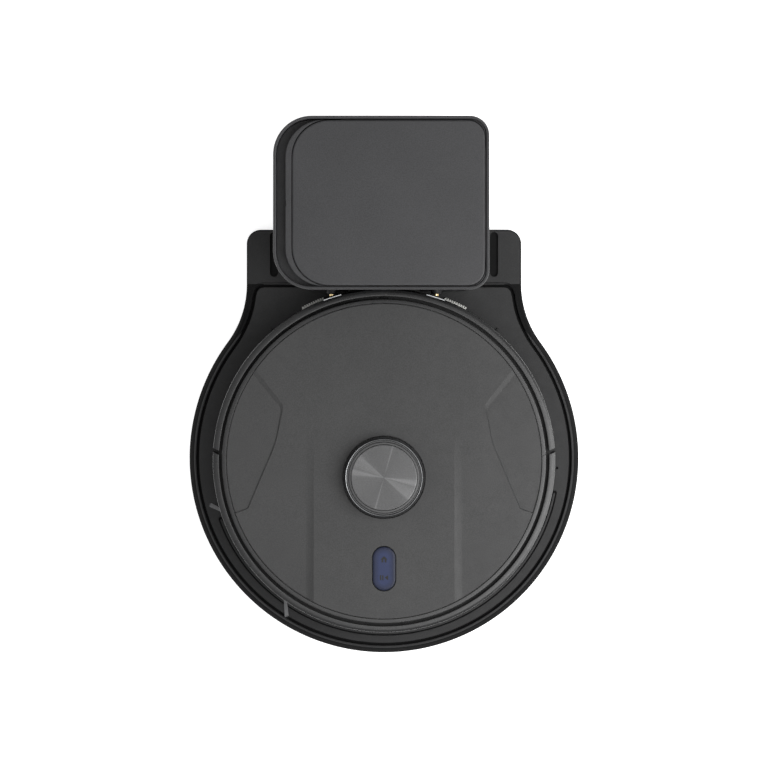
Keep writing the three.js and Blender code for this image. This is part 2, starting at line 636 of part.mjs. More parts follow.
// ---- robot: drive wheels and caster ----
function makeArm(side) {
  const bar = [...arc(PIVOT.y, PIVOT.z, 10, QUARTER, 3 * QUARTER, 8), ...arc(WHEEL.y, WHEEL.z, 10, -QUARTER, QUARTER, 8)];
  const plate = side > 0 ? prismX(bar, 97, 105) : prismX(bar, -105, -97);
  const pin = side > 0 ? rodX(3.5, 90, 98, PIVOT.y, PIVOT.z, 16) : rodX(3.5, -98, -90, PIVOT.y, PIVOT.z, 16);
  const axle = side > 0 ? rodX(4, 104, 127, WHEEL.y, WHEEL.z, 16) : rodX(4, -127, -104, WHEEL.y, WHEEL.z, 16);
  return join(plate, pin, axle);
}

function wheelRing(side, inner, outer, width, steps) {
  const [x0, x1] = [side * WHEEL.x - width / 2, side * WHEEL.x + width / 2];
  return cut(rodX(outer, x0, x1, WHEEL.y, WHEEL.z, steps), rodX(inner, x0 - 1, x1 + 1, WHEEL.y, WHEEL.z, steps));
}

function makeSpring(side) {
  const [turns, stepsPerTurn, bottom, top] = [5, 8, 51, 75];
  const points = Array.from({ length: turns * stepsPerTurn + 1 }, (_, i) => {
    const angle = (i / stepsPerTurn) * 4 * QUARTER;
    const z = bottom + ((top - bottom) * i) / (turns * stepsPerTurn);
    return [side * 101 + 3 * Math.cos(angle), 2 + 3 * Math.sin(angle), z];
  });
  return tube(points, 0.6, turns * stepsPerTurn, 4);
}

for (const [name, side] of bothSides) {
  place(robot, `wheel_arm_${name}`, makeArm(side), innerPlastic);
  place(robot, `wheel_hub_${name}`, wheelRing(side, 4.35, 23.7, 20, 24), black);
  place(robot, `tyre_${name}`, wheelRing(side, 24, WHEEL.radius, WHEEL.width, 36), rubber);
  place(robot, `suspension_spring_${name}`, makeSpring(side), steel);
}

function makeFork() {
  const crown = disc(16, 38.5, 42, 0, CASTER.y, 20);
  const stem = disc(3, 41, 56, 0, CASTER.y, 14);
  const prongs = [-1, 1].map((side) => {
    const { wheelY, z } = CASTER;
    return cut(block(side * 9.5 - 1.4, side * 9.5 + 1.4, wheelY - 5, wheelY + 5, z - 4, 39),
      rodX(2.1, side * 9.5 - 3, side * 9.5 + 3, wheelY, z, 12));
  });
  return join(crown, stem, ...prongs);
}

function makeCasterWheel() {
  const { wheelY, z, radius } = CASTER;
  return join(rodX(radius, -7, 7, wheelY, z, 28), rodX(1.7, -11.2, 11.2, wheelY, z, 12));
}

place(robot, "caster_fork", makeFork(), innerPlastic);
place(robot, "caster_wheel", makeCasterWheel(), whitePlastic);

const vacuum = new THREE.Group();
vacuum.add(station, robot);

export default vacuum;
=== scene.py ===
# A robot vacuum docked in its self-emptying station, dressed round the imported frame.
# Lengths in the geometry helpers are millimetres; Blender's are metres.
import json
import math
import random

import bmesh
import bpy
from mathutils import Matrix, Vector
from mathutils.geometry import delaunay_2d_cdt, tessellate_polygon


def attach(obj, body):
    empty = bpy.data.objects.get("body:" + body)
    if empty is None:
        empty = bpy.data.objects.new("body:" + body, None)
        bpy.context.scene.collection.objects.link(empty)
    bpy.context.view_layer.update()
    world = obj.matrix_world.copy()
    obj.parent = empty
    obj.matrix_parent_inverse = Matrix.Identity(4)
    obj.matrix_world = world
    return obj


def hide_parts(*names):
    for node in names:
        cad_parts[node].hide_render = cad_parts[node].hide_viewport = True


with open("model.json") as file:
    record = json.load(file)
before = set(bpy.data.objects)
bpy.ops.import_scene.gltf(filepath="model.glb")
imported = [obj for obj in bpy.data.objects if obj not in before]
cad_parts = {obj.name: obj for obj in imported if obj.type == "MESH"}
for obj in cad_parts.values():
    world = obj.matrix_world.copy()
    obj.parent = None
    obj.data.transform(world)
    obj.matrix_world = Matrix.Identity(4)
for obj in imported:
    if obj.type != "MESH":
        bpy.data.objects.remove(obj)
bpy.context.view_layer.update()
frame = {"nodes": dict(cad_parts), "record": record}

scene = bpy.context.scene
MM = 0.001
PI = math.pi
BOTH_SIDES = (("left", -1), ("right", 1))


# ---- shader nodes ----
class Graph:
    """The nodes of a material or a world, added one at a time with their inputs."""

    def __init__(self, owner):
        self.owner = owner
        self.owner.use_nodes = True
        self.tree = self.owner.node_tree
        self.tree.nodes.clear()

    def add(self, kind, inputs, **settings):
        node = self.tree.nodes.new("ShaderNode" + kind)
        for key, value in settings.items():
            setattr(node, key, value)
        for socket, value in inputs.items():
            if isinstance(value, bpy.types.NodeSocket):
                self.tree.links.new(value, node.inputs[socket])
            else:
                node.inputs[socket].default_value = value
        return node

    def math(self, operation, *values):
        return self.add("Math", dict(enumerate(values)), operation=operation).outputs[0]

    def ramp(self, factor, stops):
        """A grey that follows stops, which are positions and levels."""
        node = self.add("ValToRGB", {"Fac": factor})
        elements = node.color_ramp.elements
        for position, _ in stops[2:]:
            elements.new(position)
        for element, (position, level) in zip(elements, stops):
            element.position = position
            element.color = (level, level, level, 1)
        return node.outputs["Color"]

    def place(self):
        return self.add("TexCoord", {}).outputs["Object"]

    def noise(self, size_mm, detail=2.0):
        """Noise of about size_mm, at an odd scale: on a whole one, a level face would look smooth."""
        inputs = {"Vector": self.place(), "Scale": 0.963 / (size_mm * MM), "Detail": detail}
        return self.add("TexNoise", inputs).outputs["Fac"]

    def between(self, factor, low, high):
        inputs = {"Value": factor, "From Min": 0.3, "From Max": 0.7, "To Min": low, "To Max": high}
        return self.add("MapRange", inputs).outputs["Result"]

    def mix(self, factor, low, high):
        """A colour between low and high, each a colour or a socket."""
        node = self.add("Mix", {}, data_type="RGBA")
        sockets = [socket for socket in node.inputs if socket.enabled]
        for socket, value in zip(sockets, (factor, low, high)):
            if isinstance(value, bpy.types.NodeSocket):
                self.tree.links.new(value, socket)
            else:
                socket.default_value = value
        return next(socket for socket in node.outputs if socket.enabled)

    def tinted(self, color, factor, spread):
        """color, made lighter and darker by spread as factor varies."""
        low = tuple(c * (1 - spread) for c in color) + (1,)
        high = tuple(c * (1 + spread) for c in color) + (1,)
        return self.mix(self.between(factor, 0, 1), low, high)

    def bump(self, height, depth_mm):
        inputs = {"Height": height, "Distance": depth_mm * MM, "Strength": 1.0}
        return self.add("Bump", inputs).outputs["Normal"]

    def surface(self, color, roughness, normal, **constants):
        inputs = {"Base Color": color, "Roughness": roughness, "Normal": normal}
        inputs.update({key.replace("_", " "): value for key, value in constants.items()})
        shader = self.add("BsdfPrincipled", inputs)
        self.add("OutputMaterial", {"Surface": shader.outputs["BSDF"]})
        return self.owner


# ---- camera and light ----
CAMERA_LENS, CAMERA_PLACE = 181.2, (0, 0.01365, 4.0)


def make_camera():
    """The photo's camera: straight above, looking down."""
    data = bpy.data.cameras.new("camera")
    data.sensor_width = 36
    data.lens = CAMERA_LENS
    camera = bpy.data.objects.new("camera", data)
    camera.location = CAMERA_PLACE
    scene.collection.objects.link(camera)
    return camera


bpy.context.scene.camera = make_camera()
scene.view_settings.view_transform = "Standard"
scene.view_settings.look = "None"


def area_light(name, place, aim, size, watts):
    data = bpy.data.lights.new(name, "AREA")
    data.shape = "RECTANGLE"
    data.size, data.size_y = size
    data.energy = watts
    lamp = bpy.data.objects.new(name, data)
    lamp.location = place
    lamp.rotation_mode = "QUATERNION"
    lamp.rotation_quaternion = (Vector(aim) - Vector(place)).to_track_quat("-Z", "Y")
    lamp.visible_camera = False
    scene.collection.objects.link(lamp)


DOME_HORIZON, DOME_TOP, DOME_STRENGTH = 0.30, 0.60, 1.0
HAZE_EDGE = (0.075, 0.11)


def make_world():
    """A dome, brightest overhead and dimmer lower down, with a thin white haze where it meets the floor."""
    g = Graph(bpy.data.worlds.new("studio_dome"))
    height = g.add("SeparateXYZ", {0: g.add("TexCoord", {}).outputs["Generated"]}).outputs["Z"]
    color = g.ramp(height, [(0, 1), (HAZE_EDGE[0], 1), (HAZE_EDGE[1], DOME_HORIZON), (0.8, DOME_TOP)])
    dome = g.add("Background", {"Color": color, "Strength": DOME_STRENGTH})
    g.add("OutputWorld", {"Surface": dome.outputs["Background"]})
    scene.world = g.owner


make_world()
SIDE_AIM = (0, -0.04, 0.08)
# Each side light's name, bearing in degrees, distance, height, size and power.
SIDE_LIGHTS = (("key_right", 106, 0.72, 0.98, (0.9, 0.9), 12),
               ("softbox_left", 240, 1.3, 0.6, (2.2, 0.7), 2.8))
for name, bearing, distance, height, size, watts in SIDE_LIGHTS:
    turn = math.radians(bearing)
    area_light(name, (distance * math.sin(turn), distance * math.cos(turn), height), SIDE_AIM, size, watts)
area_light("softbox_above", (0.36, -0.40, 2.6), (0.36, -0.40, 0), (1.1, 1.2), 9.5)


# ---- materials ----
def grained(name, color, roughness, grain_mm, depth_mm, speckle=0.12, specular=0.5, cloud=0.05, **constants):
    """Moulded plastic, rubber or metal: a fine grain, faint clouding and uneven gloss."""
    g = Graph(bpy.data.materials.new(name))
    fine = g.noise(grain_mm, 3)
    broad = g.noise(55, 2)
    mixed = g.math("ADD", g.math("MULTIPLY", fine, speckle / (speckle + cloud)),
                   g.math("MULTIPLY", broad, cloud / (speckle + cloud)))
    shade = g.tinted(color, mixed, speckle + cloud)
    gloss = g.between(g.noise(9, 3), roughness - 0.04, roughness + 0.04)
    return g.surface(shade, gloss, g.bump(fine, depth_mm), Specular_IOR_Level=specular, **constants)


def woven(name, color, thread_mm, depth_mm):
    """Crossed threads, for the bag's cloth."""
    g = Graph(bpy.data.materials.new(name))
    place = g.place()
    inputs = {"Vector": place, "Scale": 0.5 / (thread_mm * MM) / PI, "Distortion": 1.2, "Detail": 2.0}
    waves = [g.add("TexWave", inputs, bands_direction=axis).outputs["Fac"] for axis in "XYZ"]
    height = g.math("MAXIMUM", g.math("MAXIMUM", waves[0], waves[1]), waves[2])
    fibres = g.noise(0.8, 4)
    shade = g.tinted(color, g.math("MULTIPLY", g.math("ADD", height, fibres), 0.5), 0.1)
    gloss = g.between(fibres, 0.78, 0.92)
    return g.surface(shade, gloss, g.bump(g.math("ADD", height, fibres), depth_mm))


# How bright the spun metal is, by the fraction of a half turn: the brighter sectors are painted highlights,
# standing in for its reflections.
PAINTED_HIGHLIGHT_SECTORS = [(0.0, 0.60), (0.36, 0.52), (0.40, 0.54), (0.4125, 0.86), (0.425, 0.54), (0.62, 0.52),
           (0.745, 0.56), (0.775, 0.82), (0.87, 0.74), (0.905, 0.64), (0.93, 0.92), (0.965, 0.86),
           (0.985, 0.64)]


def spun(name, color, centre_y):
    """Metal turned on a lathe: fine rays about the turret's axis, with brighter sectors painted in as
    highlights.
    """
    g = Graph(bpy.data.materials.new(name))
    centred = g.add("VectorMath", {0: g.place(), 1: (0, centre_y * MM, 0)}, operation="SUBTRACT").outputs[0]
    apart = g.add("SeparateXYZ", {0: centred})
    angle = g.math("ARCTAN2", apart.outputs["Y"], apart.outputs["X"])
    rays = g.add("TexNoise", {"W": angle, "Scale": 70.0, "Detail": 4.0}, noise_dimensions="1D").outputs["Fac"]
    half_turn = g.math("FRACT", g.math("ADD", g.math("DIVIDE", angle, PI), 1.0))
    # The sectors are painted highlights: reflection wedges put into the base colour by angle.
    painted_highlight = g.ramp(half_turn, [(position, level * 0.8) for position, level in PAINTED_HIGHLIGHT_SECTORS])
    flecks = g.between(g.noise(0.9, 4), 0.86, 1.14)
    level = g.math("MULTIPLY", g.math("MULTIPLY", painted_highlight, g.between(rays, 0.86, 1.1)), flecks)
    channels = {i: g.math("MULTIPLY", level, channel) for i, channel in enumerate(color)}
    shade = g.add("CombineColor", channels).outputs[0]
    gloss = g.between(rays, 0.34, 0.5)
    return g.surface(shade, gloss, g.bump(rays, 0.015), Metallic=0.8)


def capped(name, color, edge_color, centre_y, half_length, radius):
    """A tinted push button: its colour deepens towards the edge of its capsule outline."""
    g = Graph(bpy.data.materials.new(name))
    apart = g.add("SeparateXYZ", {0: g.place()})
    from_centre = g.math("ABSOLUTE", g.math("SUBTRACT", apart.outputs["Y"], centre_y * MM))
    beyond = g.math("SUBTRACT", from_centre, (half_length - radius) * MM)
    across = g.math("POWER", apart.outputs["X"], 2.0)
    along = g.math("POWER", g.math("MAXIMUM", beyond, 0.0), 2.0)
    reach = g.math("DIVIDE", g.math("SQRT", g.math("ADD", across, along)), radius * MM)
    fine = g.noise(0.5, 3)
    factor = g.add("MapRange", {"Value": reach, "From Min": 0.4, "From Max": 0.97}).outputs["Result"]
    shade = g.mix(factor, g.tinted(color, fine, 0.1), edge_color + (1,))
    return g.surface(shade, g.between(fine, 0.38, 0.48), g.bump(fine, 0.01), Specular_IOR_Level=0.3)


ROBOT_Y = -64.5
LIDAR_Y = ROBOT_Y - 16.2
BUTTON = {"y": -173.2, "half_width": 11.6, "half_length": 22.3}
# Each finish's colour, roughness, grain size and depth in mm, speckle and specular level.
GRAINED = {
    "station_shell": ((0.034, 0.034, 0.0357), 0.5, 0.9, 0.02, 0.16, 0.3),
    "tray_plastic": ((0.022, 0.022, 0.0225), 0.5, 0.9, 0.02, 0.16, 0.25),
    # The darker tray finish on the next line is painted shade, for the tray's sloping lip and its recesses.
    "tray_painted_shade": ((0.008, 0.008, 0.0082), 0.75, 0.9, 0.02, 0.12, 0.1),
    "lid_panel": ((0.036, 0.036, 0.0379), 0.48, 1.0, 0.02, 0.2, 0.35),
    "robot_cover": ((0.040, 0.040, 0.0402), 0.52, 1.0, 0.02, 0.2, 0.35),
    "robot_shell": ((0.014, 0.014, 0.0145), 0.29, 1.4, 0.0015, 0.06),
    "turret_ring": ((0.034, 0.034, 0.035), 0.24, 0.5, 0.004, 0.06),
    "dark_plastic": ((0.010, 0.010, 0.011), 0.5, 0.5, 0.02, 0.12, 0.25),
    "inner_plastic": ((0.10, 0.10, 0.105), 0.55, 0.5, 0.02),
    "white_plastic": ((0.66, 0.66, 0.63), 0.45, 0.5, 0.02, 0.04),
    "smoke_window": ((0.005, 0.005, 0.006), 0.2, 1.5, 0.002, 0.12, 0.25),
    "seal_rubber": ((0.012, 0.012, 0.012), 0.75, 0.9, 0.04),
    "tyre_rubber": ((0.014, 0.014, 0.014), 0.8, 1.2, 0.06),
    "bag_card": ((0.42, 0.33, 0.20), 0.85, 0.7, 0.04, 0.2),
    "brush_bristle": ((0.17, 0.17, 0.175), 0.6, 0.8, 0.02),
}
FINISH = {name: grained(name, *look) for name, look in GRAINED.items()}
FINISH["steel"] = grained("steel", (0.50, 0.51, 0.52), 0.3, 0.25, 0.004, Metallic=1.0)
FINISH["gold_contact"] = grained("gold_contact", (0.80, 0.62, 0.33), 0.26, 0.25, 0.004, Metallic=1.0)
FINISH["circuit_board"] = grained("circuit_board", (0.014, 0.09, 0.035), 0.45, 2.0, 0.02, cloud=0.2)
FINISH["battery_wrap"] = grained("battery_wrap", (0.03, 0.055, 0.22), 0.35, 3.0, 0.02, Coat_Weight=0.4)
FINISH["spun_metal"] = spun("spun_metal", (0.207, 0.207, 0.209), LIDAR_Y)
FINISH["bag_cloth"] = woven("bag_cloth", (0.62, 0.59, 0.52), 0.9, 0.08)
FINISH["button_blue"] = capped("button_blue", (0.016, 0.025, 0.076), (0.006, 0.009, 0.024), BUTTON["y"],
                               BUTTON["half_length"], BUTTON["half_width"])

NODE_SLOT = {row["node"]: row["material_slot"] for row in frame["record"]["subparts"]}
for name, node in frame["nodes"].items():
    for socket in node.material_slots:
        socket.material = FINISH[NODE_SLOT[name]]


# ---- outlines, as lists of (x, y) running anticlockwise ----
def arc(x, y, radius, start, stop, steps):
    return [(x + radius * math.cos(a), y + radius * math.sin(a))
            for a in (start + (stop - start) * i / steps for i in range(steps + 1))]


def circle(radius, x=0.0, y=0.0, steps=192):
    return arc(x, y, radius, 0, 2 * PI, steps)[:-1]


def rounded_rect(left, right, front, rear, left_corner, right_corner, steps=20):
    a, b, quarter = left_corner, right_corner, PI / 2
    return (arc(right - b, front + b, b, -quarter, 0, steps) + arc(right - b, rear - b, b, 0, quarter, steps)
            + arc(left + a, rear - a, a, quarter, PI, steps)
            + arc(left + a, front + a, a, PI, 3 * quarter, steps))


def capsule(x, y, half_width, half_length, steps=24):
    reach = half_length - half_width
    return arc(x, y + reach, half_width, 0, PI, steps) + arc(x, y - reach, half_width, PI, 2 * PI, steps)


def bent_capsule(radius, half_width, start, stop, y, steps):
    """A strip with round ends along an arc about (0, y); angles run clockwise from +Y, in degrees."""
    a, b = math.radians(90 - start), math.radians(90 - stop)
    (ax, ay), (bx, by) = ((radius * math.cos(t), y + radius * math.sin(t)) for t in (a, b))
    cap_a, cap_b = arc(ax, ay, half_width, a, a + PI, 10), arc(bx, by, half_width, b + PI, b + 2 * PI, 10)
    return (arc(0, y, radius + half_width, b, a, steps) + cap_a[1:-1]
            + arc(0, y, radius - half_width, a, b, steps) + cap_b[1:-1])


def offset(loop, out):
    """The outline moved outwards, by one distance or by one for each point."""
    moved = []
    steps = out if isinstance(out, list) else [out] * len(loop)
    for i, ((x, y), step) in enumerate(zip(loop, steps)):
        (ax, ay), (bx, by) = loop[i - 1], loop[(i + 1) % len(loop)]
        before, after = Vector((y - ay, ax - x)), Vector((by - y, x - bx))
        if before.length < 1e-6 or after.length < 1e-6:
            normal = (before + after).normalized()
        else:
            before.normalize()
            after.normalize()
            normal = (before + after) / max(1 + before.dot(after), 0.5)
        moved.append((x + step * normal.x, y + step * normal.y))
    return moved


# ---- surfaces ----
def full_turn(steps):
    return [2 * PI * i / steps for i in range(steps)]


class Shell:
    """Rings of points with strips between them, and flat caps that close them."""

    def __init__(self):
        self.points, self.faces = [], []

    def ring(self, points):
        start = len(self.points)
        self.points += points
        return list(range(start, start + len(points)))

    def level(self, loop, z):
        return self.ring([(x, y, z) for x, y in loop])

    def bridge(self, a, b, closed=True):
        for i in range(len(a) if closed else len(a) - 1):
            j = (i + 1) % len(a)
            self.faces.append((a[i], a[j], b[j], b[i]))

    def wall(self, loop, profile):
        """Follows profile's (outwards, z) steps round the outline, and returns its first and last rings."""
        rings = [self.level(offset(loop, out), z) for out, z in profile]
        for a, b in zip(rings, rings[1:]):
            self.bridge(a, b)
        return rings[0], rings[-1]

    def cap(self, *rings):
        """One flat face with rings' first as its outline and the others as holes."""
        order = [i for ring in rings for i in ring]
        loops = [[Vector(self.points[i]) for i in ring] for ring in rings]
        self.faces += [tuple(order[i] for i in triangle) for triangle in tessellate_polygon(loops)]

    def block(self, loop, profile):
        """A solid whose side is wall's, closed below and above."""
        for ring in self.wall(loop, profile):
            self.cap(ring)
        return self

    def sweep(self, columns, closed=False):
        """Joins columns of points, each one a closed section, and caps the ends of an open run."""
        rings = [self.ring(column) for column in columns]
        for a, b in zip(rings, rings[1:]):
            self.bridge(a, b)
        if closed:
            self.bridge(rings[-1], rings[0])
        else:
            self.cap(rings[0])
            self.cap(rings[-1])
        return self

    def turned(self, profile, y, x=0.0, steps=128):
        """profile's closed (radius, z) section turned about an upright axis."""
        return self.sweep([[(x + r * math.cos(a), y + r * math.sin(a), z) for r, z in profile]
                           for a in full_turn(steps)], True)

    def mesh(self, name):
        mesh = bpy.data.meshes.new(name)
        mesh.from_pydata([(x * MM, y * MM, z * MM) for x, y, z in self.points], [], self.faces)
        cleaned = bmesh.new()
        cleaned.from_mesh(mesh)
        bmesh.ops.remove_doubles(cleaned, verts=cleaned.verts, dist=2e-6)
        bmesh.ops.dissolve_degenerate(cleaned, edges=cleaned.edges, dist=2e-6)
        bmesh.ops.recalc_face_normals(cleaned, faces=cleaned.faces)
        cleaned.to_mesh(mesh)
        cleaned.free()
        return mesh


def polar(radius, degrees_from_y, y=ROBOT_Y):
    turn = math.radians(degrees_from_y)
    return radius * math.sin(turn), y + radius * math.cos(turn)


def around(profile, angles):
    """Sweeps a section about the robot's centre; angles run clockwise from +Y, in degrees."""
    return Shell().sweep([[polar(r, a) + (z,) for r, z in profile] for a in angles])


def box_shell(x0, x1, y0, y1, z0, z1):
    return Shell().block([(x0, y0), (x1, y0), (x1, y1), (x0, y1)], [(0, z0), (0, z1)])


def baked(made, name):
    """The mesh that an object's modifiers make."""
    bpy.context.view_layer.update()
    mesh = bpy.data.meshes.new_from_object(made.evaluated_get(bpy.context.evaluated_depsgraph_get()))
    mesh.name = name
    return mesh


def carved(mesh, tools, operation="DIFFERENCE"):
    """mesh with each tool, a shell or a mesh, taken out of it or added to it."""
    body = bpy.data.objects.new("carved", mesh)
    scene.collection.objects.link(body)
    helpers = []
    for number, tool in enumerate(tools):
        shape = tool.mesh(f"tool_{number}") if isinstance(tool, Shell) else tool
        helper = bpy.data.objects.new(f"tool_{number}", shape)
        scene.collection.objects.link(helper)
        helpers.append(helper)
        step = body.modifiers.new(f"step_{number}", "BOOLEAN")
        step.operation, step.solver, step.object = operation, "EXACT", helper
    result = baked(body, mesh.name)
    for used in [body] + helpers:
        bpy.data.objects.remove(used, do_unlink=True)
    return result


def piece(name, shape, body, slot, replaces=(), sharp=30, round_mm=0.0, finish=None):
    """A finished piece from a shell or a mesh: smooth across soft bends, and riding on its body."""
    mesh = shape.mesh(name) if isinstance(shape, Shell) else shape
    mesh.polygons.foreach_set("use_smooth", [True] * len(mesh.polygons))
    mesh.set_sharp_from_angle(angle=math.radians(sharp))
    mesh.materials.clear()
    mesh.materials.append(FINISH[finish or slot])
    made = bpy.data.objects.new(name, mesh)
    scene.collection.objects.link(made)
    if round_mm:
        edge = made.modifiers.new("edges", "BEVEL")
        edge.width, edge.segments, edge.limit_method = round_mm * MM, 2, "ANGLE"
        edge.angle_limit = math.radians(sharp)
    normals = made.modifiers.new("normals", "WEIGHTED_NORMAL")
    normals.keep_sharp = True
    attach(made, body)
    if replaces:
        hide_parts(*replaces)
    return made


# ---- station: tray ----
TRAY = {"y": -62.7, "radius": 201.0, "neck_half": 141.7, "neck_rear": 173.0, "fillet": 101.0}
TRAY_TOP = 9.0
# The lip's steps: each one's reach at the neck and round the disc, then its height at both.
LIP = ((0, 0, 7.3, 3.6), (-0.15, -0.3, 7.9, 4.3), (-0.4, -2.2, 8.3, 6.6), (-0.9, -4.0, 8.65, 8.45),
       (-1.4, -4.7, 8.75, 8.75))
RIDGE = ((2.7, 8.75), (2.3, 9.1), (1.9, 9.65), (1.5, 9.85), (1.0, 9.9), (0.6, 9.8), (0.2, 9.4), (0, 8.9))
GROOVE_FLOOR = 4.6
RIB_INNER, RIB_ROOT, RIB_OUTER = 176.2, 177.4, 178.9


def clamped(t):
    return max(0.0, min(1.0, t))


def fillet_centre():
    """The centre of the fillet between the tray's disc and its neck, on the right, and its bearing there."""
    reach, x = TRAY["radius"] + TRAY["fillet"], TRAY["neck_half"] + TRAY["fillet"]
    lean = math.acos(x / reach)
    return x, TRAY["y"] + reach * math.sin(lean), lean


def lip_width(y):
    """0 at the neck, where the lip is a small round, and 1 round the disc, where it slopes."""
    return clamped((100 - y) / 45)


def tray_outline(inset, rear, corner):
    """The tray's edge moved in by inset and squared off at rear."""
    fillet_x, fillet_y, lean = fillet_centre()
    hollow, half = TRAY["fillet"] + inset, TRAY["neck_half"] - inset
    stop = PI + math.asin(max(0, (fillet_y - rear + corner) / hollow))
    side = (arc(0, TRAY["y"], TRAY["radius"] - inset, -PI / 2, lean, 110)
            + arc(fillet_x, fillet_y, hollow, PI + lean, stop, 28)[1:]
            + arc(half - corner, rear - corner, corner, 0, PI / 2, 14))
    return side + [(-x, y) for x, y in reversed(side)][:-1]


def make_tray():
    shell = Shell()
    edge = tray_outline(0, TRAY["neck_rear"], 14.5)
    loop_outer, loop_inner = tray_outline(7.6, 116, 10), tray_outline(10, 113.6, 7.6)
    bottom, low = shell.wall(edge, [(-1.0, 2), (-0.3, 2.3), (0, 3)])
    wide = [lip_width(y) for _, y in edge]
    for narrow, broad, z_narrow, z_broad in LIP:
        ring = offset(edge, [narrow + (broad - narrow) * w for w in wide])
        lip = shell.ring([(x, y, z_narrow + (z_broad - z_narrow) * w) for (x, y), w in zip(ring, wide)])
        shell.bridge(low, lip)
        low = lip
    ridge, groove_outer = shell.wall(loop_outer, [*RIDGE, (0, GROOVE_FLOOR + 0.3), (-0.3, GROOVE_FLOOR)])
    groove_inner, floor = shell.wall(loop_inner, [(0.3, GROOVE_FLOOR), (0, GROOVE_FLOOR + 0.3), (0, 8.5),
                                                  (-0.12, 8.8), (-0.45, TRAY_TOP)])
    hollows = []
    for x in (-113.5, 113.5):
        top, base = shell.wall(capsule(x, 147.5, 4.1, 23), [(0.5, 8.75), (0.1, 8.6), (0, 8.2), (0, 6.2),
                                                            (-0.3, 6)])
        shell.cap(base)
        hollows.append(top)
    strip = bent_capsule(179.2, 2.4, 101, 250, ROBOT_Y, 150)
    strip_edge, strip_floor = shell.wall(strip, [(0.25, TRAY_TOP), (0.05, 8.9), (0, 8.6), (0, 7.4)])
    inner_strip = bent_capsule(179.0, 1.25, 101.4, 249.6, ROBOT_Y, 150)
    rise, crest = shell.wall(inner_strip, [(0.15, 7.4), (0, 7.6), (0, 9.0), (-0.25, 9.4), (-0.6, 9.5)])
    shell.cap(strip_floor, rise)
    shell.cap(crest)
    drain_edge, drain = shell.wall(circle(1.25, 178.6, -73, 24), [(0.2, TRAY_TOP), (0, 8.8), (0, 7)])
    shell.cap(drain)
    shell.cap(bottom)
    shell.cap(lip, ridge, *hollows)
    shell.cap(groove_outer, groove_inner)
    shell.cap(floor, strip_edge, drain_edge)
    for angle in (-41, 41):
        add_stop_block(shell, angle)
    return shell


def add_stop_block(shell, angle, radius=177.9, half=1.6, thick=0.9):
    """A small block that stands along a radius of the robot's circle."""
    corners = ((-half, -thick), (-half, thick), (half, thick), (half, -thick))
    outline = [polar(radius + a, angle + math.degrees(b / radius)) for a, b in corners]
    shell.block(outline, [(0, TRAY_TOP - 0.6), (0, 11.1), (-0.35, 11.5)])


def add_guide_rib(shell, start, stop, teeth=10):
    """A guide rib whose outer face is cut into steps, as a grip for the robot's edge."""
    outer = []
    for i in range(teeth):
        a, b = (start + (stop - start) * k / teeth for k in (i, i + 1))
        gap = (b - a) * 0.28
        outer += [polar(RIB_OUTER, a + gap), polar(RIB_OUTER, b)]
        outer += [polar(RIB_ROOT, b), polar(RIB_ROOT, b + gap)] if i < teeth - 1 else []
    inner = [polar(RIB_INNER, stop + (start - stop) * k / 24) for k in range(25)]
    shell.block(list(reversed(outer + inner)), [(0, TRAY_TOP - 0.6), (0, 12.6), (-0.25, 13)])


def on_lip(x, y):
    """True for a point on the sloping lip outside the tray's ridge."""
    fillet_x, fillet_y, _ = fillet_centre()
    if y > fillet_y:
        return abs(x) > TRAY["neck_half"] - 1.5 or y > TRAY["neck_rear"] - 1.5
    from_fillet = math.hypot(abs(x) - fillet_x, y - fillet_y)
    beside = y > 40 and from_fillet < TRAY["fillet"] + 1.5 + 3.3 * lip_width(y)
    return beside or math.hypot(x, y - TRAY["y"]) > TRAY["radius"] - 4.8


guides = Shell()
for start, stop in ((-28.5, -20.5), (20.5, 28.5)):
    add_guide_rib(guides, start, stop)
piece("tray_guide_ribs", guides, "station", "white_plastic")
tray = piece("tray_moulding", make_tray(), "station", "tray_plastic", ["tray"])
# The sloping lip, and the faces of the groove, strip, hollows and drain below the top, get the darker finish:
# painted shade standing in for their shadow.
tray.data.materials.append(FINISH["tray_painted_shade"])
for polygon in tray.data.polygons:
    x, y, z = polygon.center / MM
    if on_lip(x, y) or 4 < z < 8.6:
        polygon.material_index = 1


# ---- station: tower ----
TOWER = {"left": -103.4, "right": 98.2, "front": 101.7, "rear": 263.7}
NICHE_RADIUS, NICHE_TOP = 178.0, 100.0
WALL = 3.0
LEAN = 7.6
RECESS_FLOOR = 385
LID = {"left": -85.7, "right": 94.2, "front": 105.4, "rear": 259.5}
TOWER_RIM = ((0, 397.4), (-0.12, 398.3), (-0.5, 398.9), (-1.0, 399.2), (-2.0, 399.2), (-2.6, 398.9),
             (-WALL, 398.2))
CONTACT = {"x": 53, "z": 63}


def tower_outline(inset, scooped=False, lean=0.0):
    """The tower's outline, its front set back by lean; when scooped, it follows the docking niche's curve."""
    front = TOWER["front"] + inset + lean
    loop = rounded_rect(TOWER["left"] + inset, TOWER["right"] - inset, front, TOWER["rear"] - inset,
                        36 - inset, 18 - inset, 24)
    niche = NICHE_RADIUS + inset
    half = math.sqrt(niche ** 2 - (TOWER["front"] + inset + LEAN - ROBOT_Y) ** 2)
    steps = 48
    across = [half * (2 * i / steps - 1) for i in range(steps + 1)]
    if scooped:
        return loop + [(x, max(front, ROBOT_Y + math.sqrt(niche ** 2 - x ** 2))) for x in across]
    return loop + [(x, front) for x in across]


